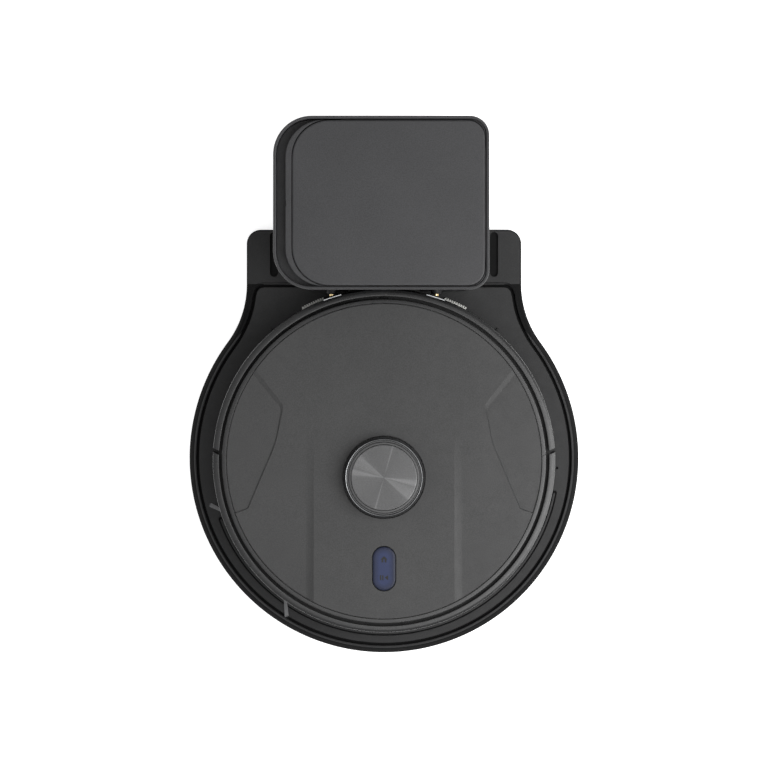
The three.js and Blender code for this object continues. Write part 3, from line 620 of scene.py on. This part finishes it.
def make_tower():
    shell = Shell()
    flat, foot, scooped = tower_outline(0), tower_outline(0, False, LEAN), tower_outline(0, True, LEAN)
    bottom = shell.level(offset(scooped, -0.6), 2)
    low, ceiling = shell.wall(scooped, [(0, 2.6), (0, NICHE_TOP - 0.6)])
    shell.bridge(bottom, low)
    # The brow over the niche is rounded only where the front stands out from the niche's curve.
    brow = [(x, y if abs(y - sy) > 0.02 else sy) for (x, y), (_, sy) in zip(foot, scooped)]
    rings = [ceiling, shell.level(scooped, NICHE_TOP)]
    for back, up in ((0.9, 0.02), (0.3, 0.3), (0, 0.9)):
        edge = [(x, y + (back if abs(sy - y) > 0.3 else 0)) for (x, y), (_, sy) in zip(brow, scooped)]
        rings.append(shell.level(edge, NICHE_TOP + up))
    for a, b in zip(rings, rings[1:]):
        shell.bridge(a, b)
    low_wall = shell.level(foot, NICHE_TOP + 1)
    rim_foot, rim = shell.wall(flat, TOWER_RIM)
    shell.bridge(rings[-1], low_wall)
    shell.bridge(low_wall, rim_foot)
    inner_foot, inner_scooped = tower_outline(WALL, False, LEAN), tower_outline(WALL, True, LEAN)
    upper, lower = shell.level(tower_outline(WALL), 360), shell.level(inner_foot, NICHE_TOP + WALL)
    shelf, floor = shell.level(inner_scooped, NICHE_TOP + WALL - 0.1), shell.level(inner_scooped, 12.3)
    for a, b in ((rim, upper), (upper, lower), (lower, shelf), (shelf, floor)):
        shell.bridge(a, b)
    shell.cap(bottom)
    shell.cap(floor)
    tray_seat = box_shell(-120, 120, 60, 173.3, 0, 9.3)
    dust_port = box_shell(-28, 28, 100, 125, 29, 51)
    socket = box_shell(49.7, 76.3, 255, 270, 27.7, 50.3)
    grille = box_shell(-70.3, 30.3, 255, 270, 59.7, 105.3)
    tools = [tray_seat, dust_port, socket, grille]
    for _, side in BOTH_SIDES:
        x, z = side * CONTACT["x"], CONTACT["z"]
        tools.append(box_shell(x - 3.4, x + 3.4, 98, 116, z - 3.4, z + 3.4))
    window = around(((170, 65.7), (190, 65.7), (190, 82.3), (170, 82.3)),
                    [6.2 * (i / 6 - 1) for i in range(13)])
    return carved(shell.mesh("tower_moulding"), tools + [window])


def lid_outline(gap):
    """The lid's outline moved out by gap."""
    return rounded_rect(LID["left"] - gap, LID["right"] + gap, LID["front"] - gap, LID["rear"] + gap,
                        35, 16, 24)


def make_frame():
    """The moulding round the lid: a plug in the tower's mouth, with the finger recess on its left."""
    plug = Shell().block(tower_outline(WALL + 0.3), [(0, 374), (0, 398.5), (-0.4, 399.1), (-0.9, 399.3)])
    recess = Shell().block(tower_outline(WALL + 0.1), [(0, RECESS_FLOOR), (0, 402)])
    surround = Shell().block([(x - 6, y) for x, y in lid_outline(0.3)], [
        (0, 370), (0, 398.6), (-0.25, 399.0), (-0.8, 399.3), (-4.2, 399.35), (-4.4, 404)])
    crescent = carved(recess.mesh("crescent"), [surround, box_shell(-40, 110, 90, 270, 370, 410)])
    whole = carved(plug.mesh("top_frame_moulding"), [crescent])
    for outline, z0 in ((lid_outline(0.5), 392.0), (rounded_rect(-80, 86, 112, 253, 24, 12), 370.0)):
        whole = carved(whole, [Shell().block(outline, [(0, z0), (0, 404)])])
    hinge_slot = box_shell(80, 96, 121, 244, 392, 404)
    finger_notch = box_shell(-94.5, -91.2, 179.5, 185, 389.5, 404)
    return carved(whole, [hinge_slot, finger_notch])


def make_lid():
    return Shell().block(lid_outline(0), [(-1.2, 392.5), (-0.4, 392.8), (0, 393.4), (0, 398.6),
                                          (-0.15, 399.2), (-0.6, 399.75), (-1.2, 399.95), (-1.8, 400)])


def make_collars():
    """The round collars that the charging contacts come out of."""
    shell = Shell()
    profile = ((105.2, 3.5), (105.2, 4.6), (105.6, 5.0), (110.5, 6.2), (110.5, 3.5))
    for _, side in BOTH_SIDES:
        shell.sweep([[(side * CONTACT["x"] + r * math.cos(a), y, CONTACT["z"] + r * math.sin(a))
                      for y, r in profile] for a in full_turn(40)], True)
    return shell


piece("tower_moulding", make_tower(), "station", "station_shell", ["tower_shell"])
piece("contact_collars", make_collars(), "station", "dark_plastic")
piece("top_frame_moulding", make_frame(), "station", "lid_panel", ["top_frame"])
piece("lid_panel", make_lid(), "lid", "lid_panel", ["lid"])


# ---- robot: side walls ----
SIDE_PROFILE = [(171.5, 22), (173.4, 22.2), (174.6, 23.2), (175, 24.6), (175, 48), (175, 48), (174.3, 66),
                (174.3, 66), (173.9, 75), (173.7, 79.4), (173.6, 81.0), (173.35, 82.15), (172.4, 82.55),
                (171.4, 82.88), (171.1, 82.96), (170, 83.03), (168.9, 83.08), (167.9, 83.1), (167.5, 83.0),
                (167.3, 82.7), (167.3, 80.5), (170.4, 77)]
# The sensor window's seat: the profile's points that are sunk, how far, and between which angles.
SEAT_POINTS, SEAT_RADIUS, SEAT_FROM, SEAT_TO = (5, 6), 172.9, 144.9, 215.1
SLOT_Y, SLOT_HALF, SLOT_SLOPE = 5.1, 2.2, 0.459
PAD_ANGLE = 17.5


def slot_line(x):
    """The middle of the slanted slot between bumper and rear shell, on the right, from the robot's centre."""
    return SLOT_Y + SLOT_SLOPE * (x - 160)


def slot_angle(radius, shift):
    """Where the slanted slot's edge meets a radius, clockwise from +Y in degrees."""
    low, high = 60.0, 120.0
    for _ in range(40):
        middle = (low + high) / 2
        x, y = polar(radius, middle, 0)
        low, high = (middle, high) if y > slot_line(x) + shift else (low, middle)
    return low


def make_bumper():
    steps = 220
    starts = [slot_angle(r, -SLOT_HALF) for r, _ in SIDE_PROFILE]
    columns, was_sunk = [], False
    for i in range(steps + 1):
        angles = [start + (360 - 2 * start) * i / steps for start in starts]
        sunk = SEAT_FROM < angles[SEAT_POINTS[0]] < SEAT_TO
        for deep in ((sunk,) if sunk == was_sunk else (was_sunk, sunk)):
            columns.append([polar(SEAT_RADIUS if deep and k in SEAT_POINTS else r, a) + (z,)
                            for k, ((r, z), a) in enumerate(zip(SIDE_PROFILE, angles))])
        was_sunk = sunk
    return Shell().sweep(columns)


def make_rear_shell():
    steps = 150
    stops = [slot_angle(r, SLOT_HALF) for r, _ in SIDE_PROFILE]
    turns = [2 * i / steps - 1 for i in range(steps + 1)]
    wall = Shell().sweep([[polar(r, stop * turn) + (z,) for (r, z), stop in zip(SIDE_PROFILE, stops)]
                          for turn in turns])
    flange = around([(164.5, 22.4), (171.9, 22.4), (171.9, 24.6), (164.5, 24.6)], range(-60, 61, 2))
    whole = carved(wall.mesh("rear_shell_moulding"), [flange], "UNION")
    tools = [box_shell(-30, 30, 60, 116, 28, 52)]
    for _, side in BOTH_SIDES:
        tools.append(around([(172.2, 55.6), (181, 55.6), (181, 92), (172.2, 92)],
                            [side * PAD_ANGLE + a for a in (-3.3, -1.65, 0, 1.65, 3.3)]))
    return carved(whole, tools)


window = around([(173.3, 48.4), (174.6, 48.2), (174.98, 48.6), (174.32, 65.4), (174, 65.8), (173.3, 65.6)],
                [145.4 + 69.2 * i / 90 for i in range(91)])
liner = around([(164.3, 74), (167.6, 74), (167.6, 76), (164.3, 76)], range(0, 361, 3))
piece("bumper_moulding", make_bumper(), "bumper", "robot_shell", ["bumper"], round_mm=0.35)
piece("bumper_sensor_window", window, "bumper", "smoke_window", ["bumper_window"])
piece("rear_shell_moulding", make_rear_shell(), "robot", "robot_shell", ["rear_shell"])
piece("bumper_gap_liner", liner, "robot", "seal_rubber")
for name, side in BOTH_SIDES:
    pad = around([(173.7, 56.2), (174.5, 56.0), (174.8, 56.4), (174.8, 78.4), (174.5, 78.9), (173.7, 78.9)],
                 [side * PAD_ANGLE + 3.1 * (k / 6 - 1) for k in range(13)])
    piece(f"charging_pad_{name}", pad, "robot", "steel", [f"contact_pad_{name}"])


# ---- robot: top deck, seen as the narrow ring round the cover ----
def held_within(loop, radius):
    """The outline with its far points pulled in to radius from the robot's centre."""
    held = []
    for x, y in loop:
        reach = max(1.0, math.hypot(x, y - ROBOT_Y) / radius)
        held.append((x / reach, ROBOT_Y + (y - ROBOT_Y) / reach))
    return held


def deck_holes():
    """Holes for the dust bin, the turret's rotor, its pulley, the button and the two wheels."""
    half, reach = 93, 158
    corner = math.acos(half / reach)
    back = arc(0, ROBOT_Y, reach, corner, PI - corner, 60)
    bin_hole = held_within(back + [(-half, ROBOT_Y + 39.3), (half, ROBOT_Y + 39.3)], 154.4)
    holes = [bin_hole, circle(28, 0, LIDAR_Y, 72), circle(4, 56, LIDAR_Y, 24),
             capsule(0, BUTTON["y"], 6, 18, 12)]
    for _, side in BOTH_SIDES:
        left, right = sorted((side * 105.5, side * 131))
        front, rear = ROBOT_Y - 22, ROBOT_Y + 50
        holes.append([(left, front), (right, front), (right, rear), (left, rear)])
    return holes


def make_deck():
    shell = Shell()
    rim, lip, ledge, skirt = (circle(radius, 0, ROBOT_Y) for radius in (164.2, 160, 155, 161.8))
    low, top = shell.wall(rim, [(0, 66.8), (0, 86.6), (-0.15, 87.3), (-0.45, 87.8), (-0.9, 88)])
    inner_top, ledge_out = shell.wall(lip, [(0.25, 88), (0.08, 87.9), (0, 87.7), (0, 82.6)])
    ledge_in, plate = shell.wall(ledge, [(0, 82.6), (0, 79)])
    shell.bridge(top, inner_top)
    shell.bridge(ledge_out, ledge_in)
    rings = [shell.wall(hole, [(0, 79), (0, 76)]) for hole in deck_holes()]
    shell.cap(plate, *[upper for upper, _ in rings])
    under, foot = shell.wall(skirt, [(0, 76), (0, 66.8)])
    shell.cap(under, *[lower for _, lower in rings])
    shell.bridge(foot, low)
    return shell


def slot_groove(side):
    """A thin cutter that carries the bumper's slot across the deck's ring."""
    corners = ((159, -0.4), (166, -0.4), (166, 0.4), (159, 0.4))
    outline = [(side * x, ROBOT_Y + slot_line(x) + shift) for x, shift in corners]
    return Shell().block(outline, [(0, 86.4), (0, 90)])


deck = carved(make_deck().mesh("deck_moulding"), [slot_groove(side) for _, side in BOTH_SIDES])
piece("deck_moulding", deck, "robot", "robot_shell", ["top_deck"])


# ---- robot: top cover ----
COVER_RADIUS, COVER_TOP = 159.4, 89.0
COVER_ROUND = ((0.0, 0.0), (0.18, 0.04), (0.34, 0.14), (0.43, 0.28), (0.46, 0.6))
# The sides fall towards the front, from FALL_Y on and outside FALL_X, which FALL_EASE rounds off.
FALL_X, FALL_Y, FALL_ANGLE, FALL_EASE = 71.2, 31.5, math.radians(0.83), 9.5
WING_DEPTH, WING_REACH = 1.5, 95
UNDER_RADIUS, UNDER_LOW, UNDER_HIGH = 156.4, 83, 86
HOLE_WIDTH, HOLE_LENGTH = 12.2, 22.9


def filleted(corners):
    """A polyline whose corners, given as (x, y, radius), are rounded."""
    points = []
    for i, (x, y, radius) in enumerate(corners):
        if not radius:
            points.append((x, y))
            continue
        here = Vector((x, y))
        back = (Vector(corners[i - 1][:2]) - here).normalized()
        ahead = (Vector(corners[i + 1][:2]) - here).normalized()
        half = math.acos(max(-1, min(1, back.dot(ahead)))) / 2
        reach = radius / math.tan(half)
        start, stop = here + back * reach, here + ahead * reach
        middle = here + (back + ahead).normalized() * (radius / math.sin(half))
        for k in range(13):
            point = start.lerp(stop, k / 12) - middle
            points.append(tuple(middle + point.normalized() * radius))
    return points


WING = filleted([(164, 135.3, 0), (101.2, 56.4, 13), (109.6, 18.0, 90), (137.6, -48.0, 3.5), (149, -52.2, 5),
                 (190, -56.5, 0)])


def wing_inner():
    """The wing outline's foot: far from it along the rear edge, and close to it elsewhere."""
    moved = []
    for i, (x, y) in enumerate(WING):
        a, b = Vector(WING[max(i - 1, 0)]), Vector(WING[min(i + 1, len(WING) - 1)])
        along = (b - a).normalized()
        width = 0.55 + 4.95 * clamped((y - 44) / 22)
        moved.append((x - along.y * width, y + along.x * width))
    return moved


WING_FOOT = wing_inner()


def distance_to(line, x, y):
    """From a point to the nearest place on a polyline."""
    here, best = Vector((x, y)), 1e9
    for a, b in zip(line, line[1:]):
        a, b = Vector(a), Vector(b)
        span = b - a
        t = clamped((here - a).dot(span) / max(span.length_squared, 1e-9))
        best = min(best, (here - a - span * t).length)
    return best


def inside(line, x, y):
    """True if the closed outline goes round the point."""
    hit = False
    for (ax, ay), (bx, by) in zip(line, line[1:] + line[:1]):
        if (ay > y) != (by > y) and x < (bx - ax) * (y - ay) / (by - ay) + ax:
            hit = not hit
    return hit


def cover_height(x, y):
    """The cover's surface, in the robot's own frame: its sides fall, and its wings are sunk."""
    x = abs(x)
    fall = max(0.0, FALL_Y - y) * math.tan(FALL_ANGLE)
    t = clamped((x - FALL_X) / FALL_EASE)
    height = COVER_TOP - fall * (1 - (1 - t) ** 2)
    if x > WING_REACH:
        near, far = distance_to(WING, x, y), distance_to(WING_FOOT, x, y)
        if inside(WING_FOOT, x, y) or far < 1e-3:
            height -= WING_DEPTH
        elif inside(WING, x, y) and near > 1e-3:
            height -= WING_DEPTH * near / (near + far)
    return height


def cover_lines():
    """The cover's outline and holes, then its open creases, as (line, closed)."""
    edge = COVER_ROUND[-1][0]
    lines = [(circle(COVER_RADIUS - edge, steps=256), True),
             (circle(41.9 + edge, 0, LIDAR_Y - ROBOT_Y, 96), True),
             (capsule(0, BUTTON["y"] - ROBOT_Y, HOLE_WIDTH + edge, HOLE_LENGTH + edge), True)]
    run = FALL_Y + 150
    for _, side in BOTH_SIDES:
        for t in (0, 0.08, 0.18, 0.3, 0.45, 0.62, 0.8, 1):
            x = FALL_X + FALL_EASE * t
            lines.append(([(side * x, FALL_Y - run * k / 40) for k in range(41)], False))
        lines.append(([(side * FALL_X, FALL_Y), (side * 170, FALL_Y)], False))
        lines += [([(side * x, y) for x, y in outline], False) for outline in (WING, WING_FOOT)]
    return lines


def make_cover():
    lines = cover_lines()
    points, edges = [], []
    for line, closed in lines:
        start = len(points)
        points.extend(Vector(p) for p in line)
        edges.extend((start + i, start + i + 1) for i in range(len(line) - 1))
        if closed:
            edges.append((start + len(line) - 1, start))
    flat, _, triangles = delaunay_2d_cdt(points, edges, [], 0, 1e-4)[:3]
    limit, holes = COVER_RADIUS - COVER_ROUND[-1][0] - 0.001, [line for line, _ in lines[1:3]]
    keep = []
    for triangle in triangles:
        x, y = (sum(flat[i][k] for i in triangle) / 3 for k in (0, 1))
        if math.hypot(x, y) <= limit and not any(inside(line, x, y) for line in holes):
            keep.append(triangle)
    shell = Shell()
    used = sorted({i for triangle in keep for i in triangle})
    number = {old: new for new, old in enumerate(used)}
    shell.ring([(flat[i].x, flat[i].y + ROBOT_Y, cover_height(flat[i].x, flat[i].y)) for i in used])
    shell.faces += [tuple(number[i] for i in triangle) for triangle in keep]
    feet = [add_cover_skirt(shell, loop) for loop in boundary_loops(shell.faces)]
    outer, *holes = sorted(feet, key=len, reverse=True)
    shrink = UNDER_RADIUS / COVER_RADIUS
    rim = [(x * shrink, (y - ROBOT_Y) * shrink + ROBOT_Y) for x, y, _ in (shell.points[i] for i in outer)]
    inner, roof = shell.level(rim, UNDER_LOW), shell.level(rim, UNDER_HIGH)
    shell.bridge(outer, inner)
    shell.bridge(inner, roof)
    shell.cap(roof, *holes)
    return shell


def boundary_loops(faces):
    """The open edges of a patch of faces, chained into loops."""
    following = dict.fromkeys((a, face[(i + 1) % len(face)]) for face in faces for i, a in enumerate(face))
    step = {a: b for a, b in following if (b, a) not in following}
    loops = []
    while step:
        start, here = next(iter(step.items()))
        loop = [start]
        del step[start]
        while here != start:
            loop.append(here)
            here = step.pop(here)
        loops.append(loop)
    return loops


def add_cover_skirt(shell, loop):
    """Rounds an edge of the cover over and runs it down; returns the lowest ring."""
    centre = sum((Vector(shell.points[i][:2]) for i in loop), Vector((0, 0))) / len(loop)
    size = max((Vector(shell.points[i][:2]) - centre).length for i in loop)
    straight = HOLE_LENGTH - HOLE_WIDTH
    last = loop
    for out, down in COVER_ROUND[1:]:
        ring = []
        for x, y, z in [shell.points[i] for i in loop]:
            if size > 100:
                away = Vector((x, y - ROBOT_Y))
            elif size > 30:
                away = Vector((-x, LIDAR_Y - y))
            else:
                away = Vector((-x, BUTTON["y"] + max(-straight, min(straight, y - BUTTON["y"])) - y))
            away.normalize()
            ring.append((x + away.x * out, y + away.y * out, z - down))
        ring = shell.ring(ring)
        shell.bridge(last, ring)
        last = ring
    foot = shell.level([shell.points[i][:2] for i in last], UNDER_LOW if size > 100 else UNDER_HIGH)
    shell.bridge(last, foot)
    return foot


piece("cover_panel", make_cover(), "top_cover", "robot_cover", ["top_cover"], sharp=3)


# ---- robot: lidar turret ----
BASE_PROFILE = [(8, 79.3), (41.0, 79.3), (41.2, 79.6), (41.2, 90.5), (40.9, 90.9), (40.4, 91), (34.2, 91),
                (33.8, 90.8), (33.6, 90.4), (33.6, 80.3), (8, 80.3)]
ROTOR_PROFILE = [(0, 80.7), (31.5, 80.7), (31.5, 83.3), (30, 83.5), (30, 99.8), (29.8, 100.2), (29.4, 100.4),
                 (0, 100.4)]
RIM_PROFILE = [(33.5, 101.3), (38.5, 101.3), (38.9, 101.7), (38.9, 105.6), (38.8, 105.9), (38.1, 105.9),
               (37.9, 105.4), (37.2, 104.7), (36.4, 104.7), (35.7, 105.45), (35.3, 105.6), (33.7, 105.6),
               (33.5, 105.4)]
BEAD_PROFILE = [(38.05, 105.3), (38.7, 105.3), (38.85, 105.7), (38.75, 106.1), (38.45, 106.3), (38.2, 106.15),
                (38.05, 105.8)]
DISC_PROFILE = [(0, 101.4), (33.3, 101.4), (33.3, 105.2), (33.15, 105.6), (32.8, 105.75), (32.3, 105.8),
                (0, 105.8)]


def make_posts():
    shell = Shell()
    for angle in (45, 135, 225, 315):
        turn = math.radians(angle)
        post = circle(2.2, 37.2 * math.cos(turn), LIDAR_Y + 37.2 * math.sin(turn), 24)
        shell.block(post, [(0.6, 91), (0.2, 91.3), (0, 91.9), (0, 101)])
    return shell


def lens_cutter(x):
    """A round hole through the rotor's front, for one of the laser's two lenses."""
    return Shell().sweep([[(x + 6 * math.cos(a), LIDAR_Y + y, 92 + 6 * math.sin(a)) for a in full_turn(32)]
                          for y in (-40, -24)])


base = Shell().turned(BASE_PROFILE, LIDAR_Y).mesh("turret_base")
rotor = Shell().turned(ROTOR_PROFILE, LIDAR_Y).mesh("turret_rotor")
belt_gap = box_shell(12, 45, LIDAR_Y - 34, LIDAR_Y + 34, 80.3, 84.4)
piece("turret_base", carved(base, [belt_gap]), "robot", "dark_plastic", ["lidar_base"])
piece("turret_posts", make_posts(), "robot", "dark_plastic")
piece("turret_rotor", carved(rotor, [lens_cutter(-11), lens_cutter(11)]), "lidar_rotor", "inner_plastic",
      ["lidar_rotor"])
piece("turret_rim", Shell().turned(RIM_PROFILE, LIDAR_Y, steps=192), "robot", "dark_plastic", ["lidar_cap"],
      finish="turret_ring")
piece("turret_bead", Shell().turned(BEAD_PROFILE, LIDAR_Y, steps=192), "robot", "steel")
piece("turret_disc", Shell().turned(DISC_PROFILE, LIDAR_Y, steps=192), "robot", "spun_metal")


# ---- robot: button ----
BUTTON_PROFILE = ((-0.3, 84), (0, 84.3), (0, 88.3), (-0.15, 88.8), (-0.5, 89.1), (-1.2, 89.3), (-2.4, 89.4))
SYMBOL_LOW, SYMBOL_HIGH = 89.3, 89.46


def upright(left, right, low, high):
    return [(left, low), (right, low), (right, high), (left, high)]


def make_symbols():
    """A plain house above a pause and a play mark, raised a little from the button."""
    home, play = BUTTON["y"] + 9.3, BUTTON["y"] - 9.1
    marks = [[(-3.6, home), (3.6, home), (0, home + 3.4)], upright(-2.5, -0.7, home - 3, home),
             upright(0.7, 2.5, home - 3, home), upright(-4.2, -2.8, play - 2.5, play + 2.5),
             upright(-1.9, -0.5, play - 2.5, play + 2.5), [(0.5, play), (4.2, play - 2.7), (4.2, play + 2.7)]]
    shell = Shell()
    for mark in marks:
        shell.block(mark, [(0, SYMBOL_LOW), (0, SYMBOL_HIGH)])
    return shell


button_outline = capsule(0, BUTTON["y"], BUTTON["half_width"], BUTTON["half_length"], 40)
piece("button_cap", Shell().block(button_outline, BUTTON_PROFILE), "button", "button_blue", ["button_plate"])
piece("button_symbols", make_symbols(), "button", "seal_rubber")


# ---- robot: side brush ----
BRUSH = {"x": -106.7, "y": -145.7, "reach": 82.0, "turn": -85.5}
BRUSH_ARMS = [math.radians(BRUSH["turn"] + 120 * arm) for arm in range(3)]
HUB_PROFILE = [(0, 13.3), (9.5, 13.3), (11.4, 13.8), (11.9, 14.6), (11.9, 16.8), (11.3, 17.9), (9.8, 18.4),
               (4.2, 18.4), (3.4, 18.8), (2.9, 19.6), (2.9, 25.8), (0, 25.8)]
ARM_START, ARM_LENGTH, TUFT_START = 9, 37, 40


def brush_point(turn, r, aside, z):
    """A point of an arm that leaves the brush's axis in the direction turn."""
    return (BRUSH["x"] + r * math.cos(turn) - aside * math.sin(turn),
            BRUSH["y"] + r * math.sin(turn) + aside * math.cos(turn), z)


def make_brush_hub():
    shell = Shell()
    shell.turned(HUB_PROFILE, BRUSH["y"], BRUSH["x"], 72)
    for turn in BRUSH_ARMS:
        columns = []
        for k in range(15):
            t = k / 14
            r = ARM_START + ARM_LENGTH * t
            half = (4.2 * (1 - t) + 1.9 * t) * math.sqrt(max(0.0, 1 - t ** 6)) + 0.05
            z = 15.2 - 4.6 * min(1.0, t * 3) ** 1.4
            thick = 1.5 * (1 - t) + 0.75 * t
            columns.append([brush_point(turn, r, half * math.cos(a), z + thick * math.sin(a))
                            for a in full_turn(14)])
        shell.sweep(columns)
    return shell


def make_bristles(strands=26, bends=5):
    shell = Shell()
    spread = random.Random(7)
    corners = (PI / 4, 3 * PI / 4, 5 * PI / 4, 7 * PI / 4)
    for turn in BRUSH_ARMS:
        for strand in range(strands):
            lane = strand / (strands - 1) * 2 - 1
            lane += spread.uniform(-0.05, 0.05)
            lift = spread.uniform(0, 0.55)
            tip = BRUSH["reach"] - 0.4 - spread.uniform(0, 2.2)
            columns = []
            for k in range(bends + 1):
                t = k / bends
                r = TUFT_START + (tip - TUFT_START) * t
                half = 0.24 * (1 - 0.35 * t)
                aside = lane * (1.25 + 0.7 * t ** 2)
                z = 10.75 - 0.5 * t + lift * (0.4 - 0.8 * abs(t - 0.5))
                columns.append([brush_point(turn, r, aside + half * math.cos(a), z + half * math.sin(a))
                                for a in corners])
            shell.sweep(columns)
    return shell


piece("side_brush_hub", make_brush_hub(), "side_brush", "tyre_rubber", ["side_brush"])
piece("side_brush_bristles", make_bristles(), "side_brush", "brush_bristle")


# ---- station: dust bag ----
BAG_LOW, BAG_HIGH = (-79.4, 113.6, 214.6), (53.4, 251.4, 349.4)
GLUED_LOW, GLUED_HIGH = (44, 152, 262), (60, 212, 346)
BAG_PROFILE = ((-30, 219.5), (-12, 220), (-3, 223), (0, 229), (0.6, 255), (0.8, 282), (0.6, 310), (0, 335),
               (-3, 341), (-12, 344), (-30, 344.5))
BAG_VOXEL, BAG_RUMPLE, BAG_SWELL = 5, 2.2, 6
BAG_PRESSURE, BAG_FRAMES = 4, 20
TAPE = ((-3.2, -0.5), (-3.0, 0.25), (-2.3, 0.55), (-0.4, 0.6), (0, 0.3), (0.4, 0.6), (2.3, 0.55), (3.0, 0.25),
        (3.2, -0.5))


def apply(made, modifier):
    """Gives the bag the mesh that its modifier makes, and takes the modifier off."""
    made.data = baked(made, "dust_bag_cloth")
    made.modifiers.remove(modifier)


def is_glued(place):
    """True for a point on the side that is glued to the bag's card collar."""
    return all(low * MM < here < high * MM for low, here, high in zip(GLUED_LOW, place, GLUED_HIGH))


def inflate(made):
    """Runs the pressure cloth on the bag's mesh and applies it."""
    glued = made.vertex_groups.new(name="glued")
    glued.add([v.index for v in made.data.vertices if is_glued(v.co)], 1.0, "REPLACE")
    cloth = made.modifiers.new("fill", "CLOTH")
    settings = cloth.settings
    settings.quality = 6
    settings.mass = 0.15
    settings.tension_stiffness = settings.compression_stiffness = settings.shear_stiffness = 12
    settings.bending_stiffness = 0.2
    settings.use_pressure = True
    settings.uniform_pressure_force = BAG_PRESSURE
    settings.effector_weights.gravity = 0
    settings.vertex_group_mass = "glued"
    for number in range(1, BAG_FRAMES + 1):
        scene.frame_set(number)
    apply(made, cloth)
    scene.frame_set(1)


def filled_bag():
    """A slack, rumpled bag, swollen by a pressure cloth simulation and held inside its bay."""
    slack = Shell().block(rounded_rect(-72, 47, 121, 244, 20, 16, 10), BAG_PROFILE)
    made = bpy.data.objects.new("bag_pattern", slack.mesh("dust_bag_cloth"))
    scene.collection.objects.link(made)
    remesh = made.modifiers.new("even", "REMESH")
    remesh.mode, remesh.voxel_size = "VOXEL", BAG_VOXEL * MM
    apply(made, remesh)
    creases = random.Random(3)
    folds = [(Vector([creases.uniform(-1, 1) for _ in range(3)]).normalized() * creases.uniform(90, 210),
              creases.uniform(0, 2 * PI)) for _ in range(7)]
    for vertex in made.data.vertices:
        sway = sum(math.sin(vertex.co.dot(wave) + phase) for wave, phase in folds) / len(folds)
        vertex.co += vertex.normal * sway * (BAG_RUMPLE * MM)
    start = [vertex.co.copy() for vertex in made.data.vertices]
    inflate(made)
    for vertex, before in zip(made.data.vertices, start):
        moved = vertex.co - before
        if moved.length > BAG_SWELL * MM:
            vertex.co = before + moved.normalized() * (BAG_SWELL * MM)
        for k in range(3):
            vertex.co[k] = max(BAG_LOW[k] * MM, min(BAG_HIGH[k] * MM, vertex.co[k]))
    smooth = made.modifiers.new("fine", "SUBSURF")
    smooth.levels = smooth.render_levels = 1
    mesh = baked(made, "dust_bag_cloth")
    bpy.data.objects.remove(made, do_unlink=True)
    return mesh


def seam_path(mesh, x_mm):
    """The places and normals, in order, where a plane across X cuts the mesh."""
    cut = bmesh.new()
    cut.from_mesh(mesh)
    found = bmesh.ops.bisect_plane(cut, geom=cut.verts[:] + cut.edges[:] + cut.faces[:],
                                   plane_co=(x_mm * MM, 0, 0), plane_no=(1, 0, 0))["geom_cut"]
    cut.normal_update()
    edges = {e for e in found if isinstance(e, bmesh.types.BMEdge)}
    here = min(edges, key=lambda e: e.verts[0].co.z).verts[0]
    path = []
    while edges:
        step = next((e for e in here.link_edges if e in edges), None)
        if not step:
            break
        edges.remove(step)
        path.append((here.co / MM, here.normal.copy()))
        here = step.other_vert(here)
    cut.free()
    return path


def seam_round(mesh, x_mm):
    """A stitched tape that follows the bag where a plane across X cuts it."""
    columns = []
    for place, normal in seam_path(mesh, x_mm):
        normal.x = 0
        normal.normalize()
        columns.append([(place.x + side, place.y + normal.y * up, place.z + normal.z * up)
                        for side, up in TAPE])
    return Shell().sweep(columns, True)


bag_mesh = filled_bag()
seams = {"left": seam_round(bag_mesh, -66), "right": seam_round(bag_mesh, 40)}
bag = piece("dust_bag_cloth", bag_mesh, "station", "bag_cloth", ["dust_bag"], sharp=80)
for name, seam in seams.items():
    piece(f"dust_bag_seam_{name}", seam, "station", "bag_cloth")


# ---- floor ----
def make_floor():
    mesh = bpy.data.meshes.new("floor")
    half = 30
    corners = [(-half, -half, 0), (half, -half, 0), (half, half, 0), (-half, half, 0)]
    mesh.from_pydata(corners, [], [(0, 1, 2, 3)])
    paint = grained("floor_paint", (0.86, 0.86, 0.86), 0.7, 3.0, 0.01, 0.01, cloud=0.005,
                    Emission_Color=(1, 1, 1, 1), Emission_Strength=0.68)
    mesh.materials.append(paint)
    floor = bpy.data.objects.new("floor", mesh)
    scene.collection.objects.link(floor)
    return floor


make_floor()
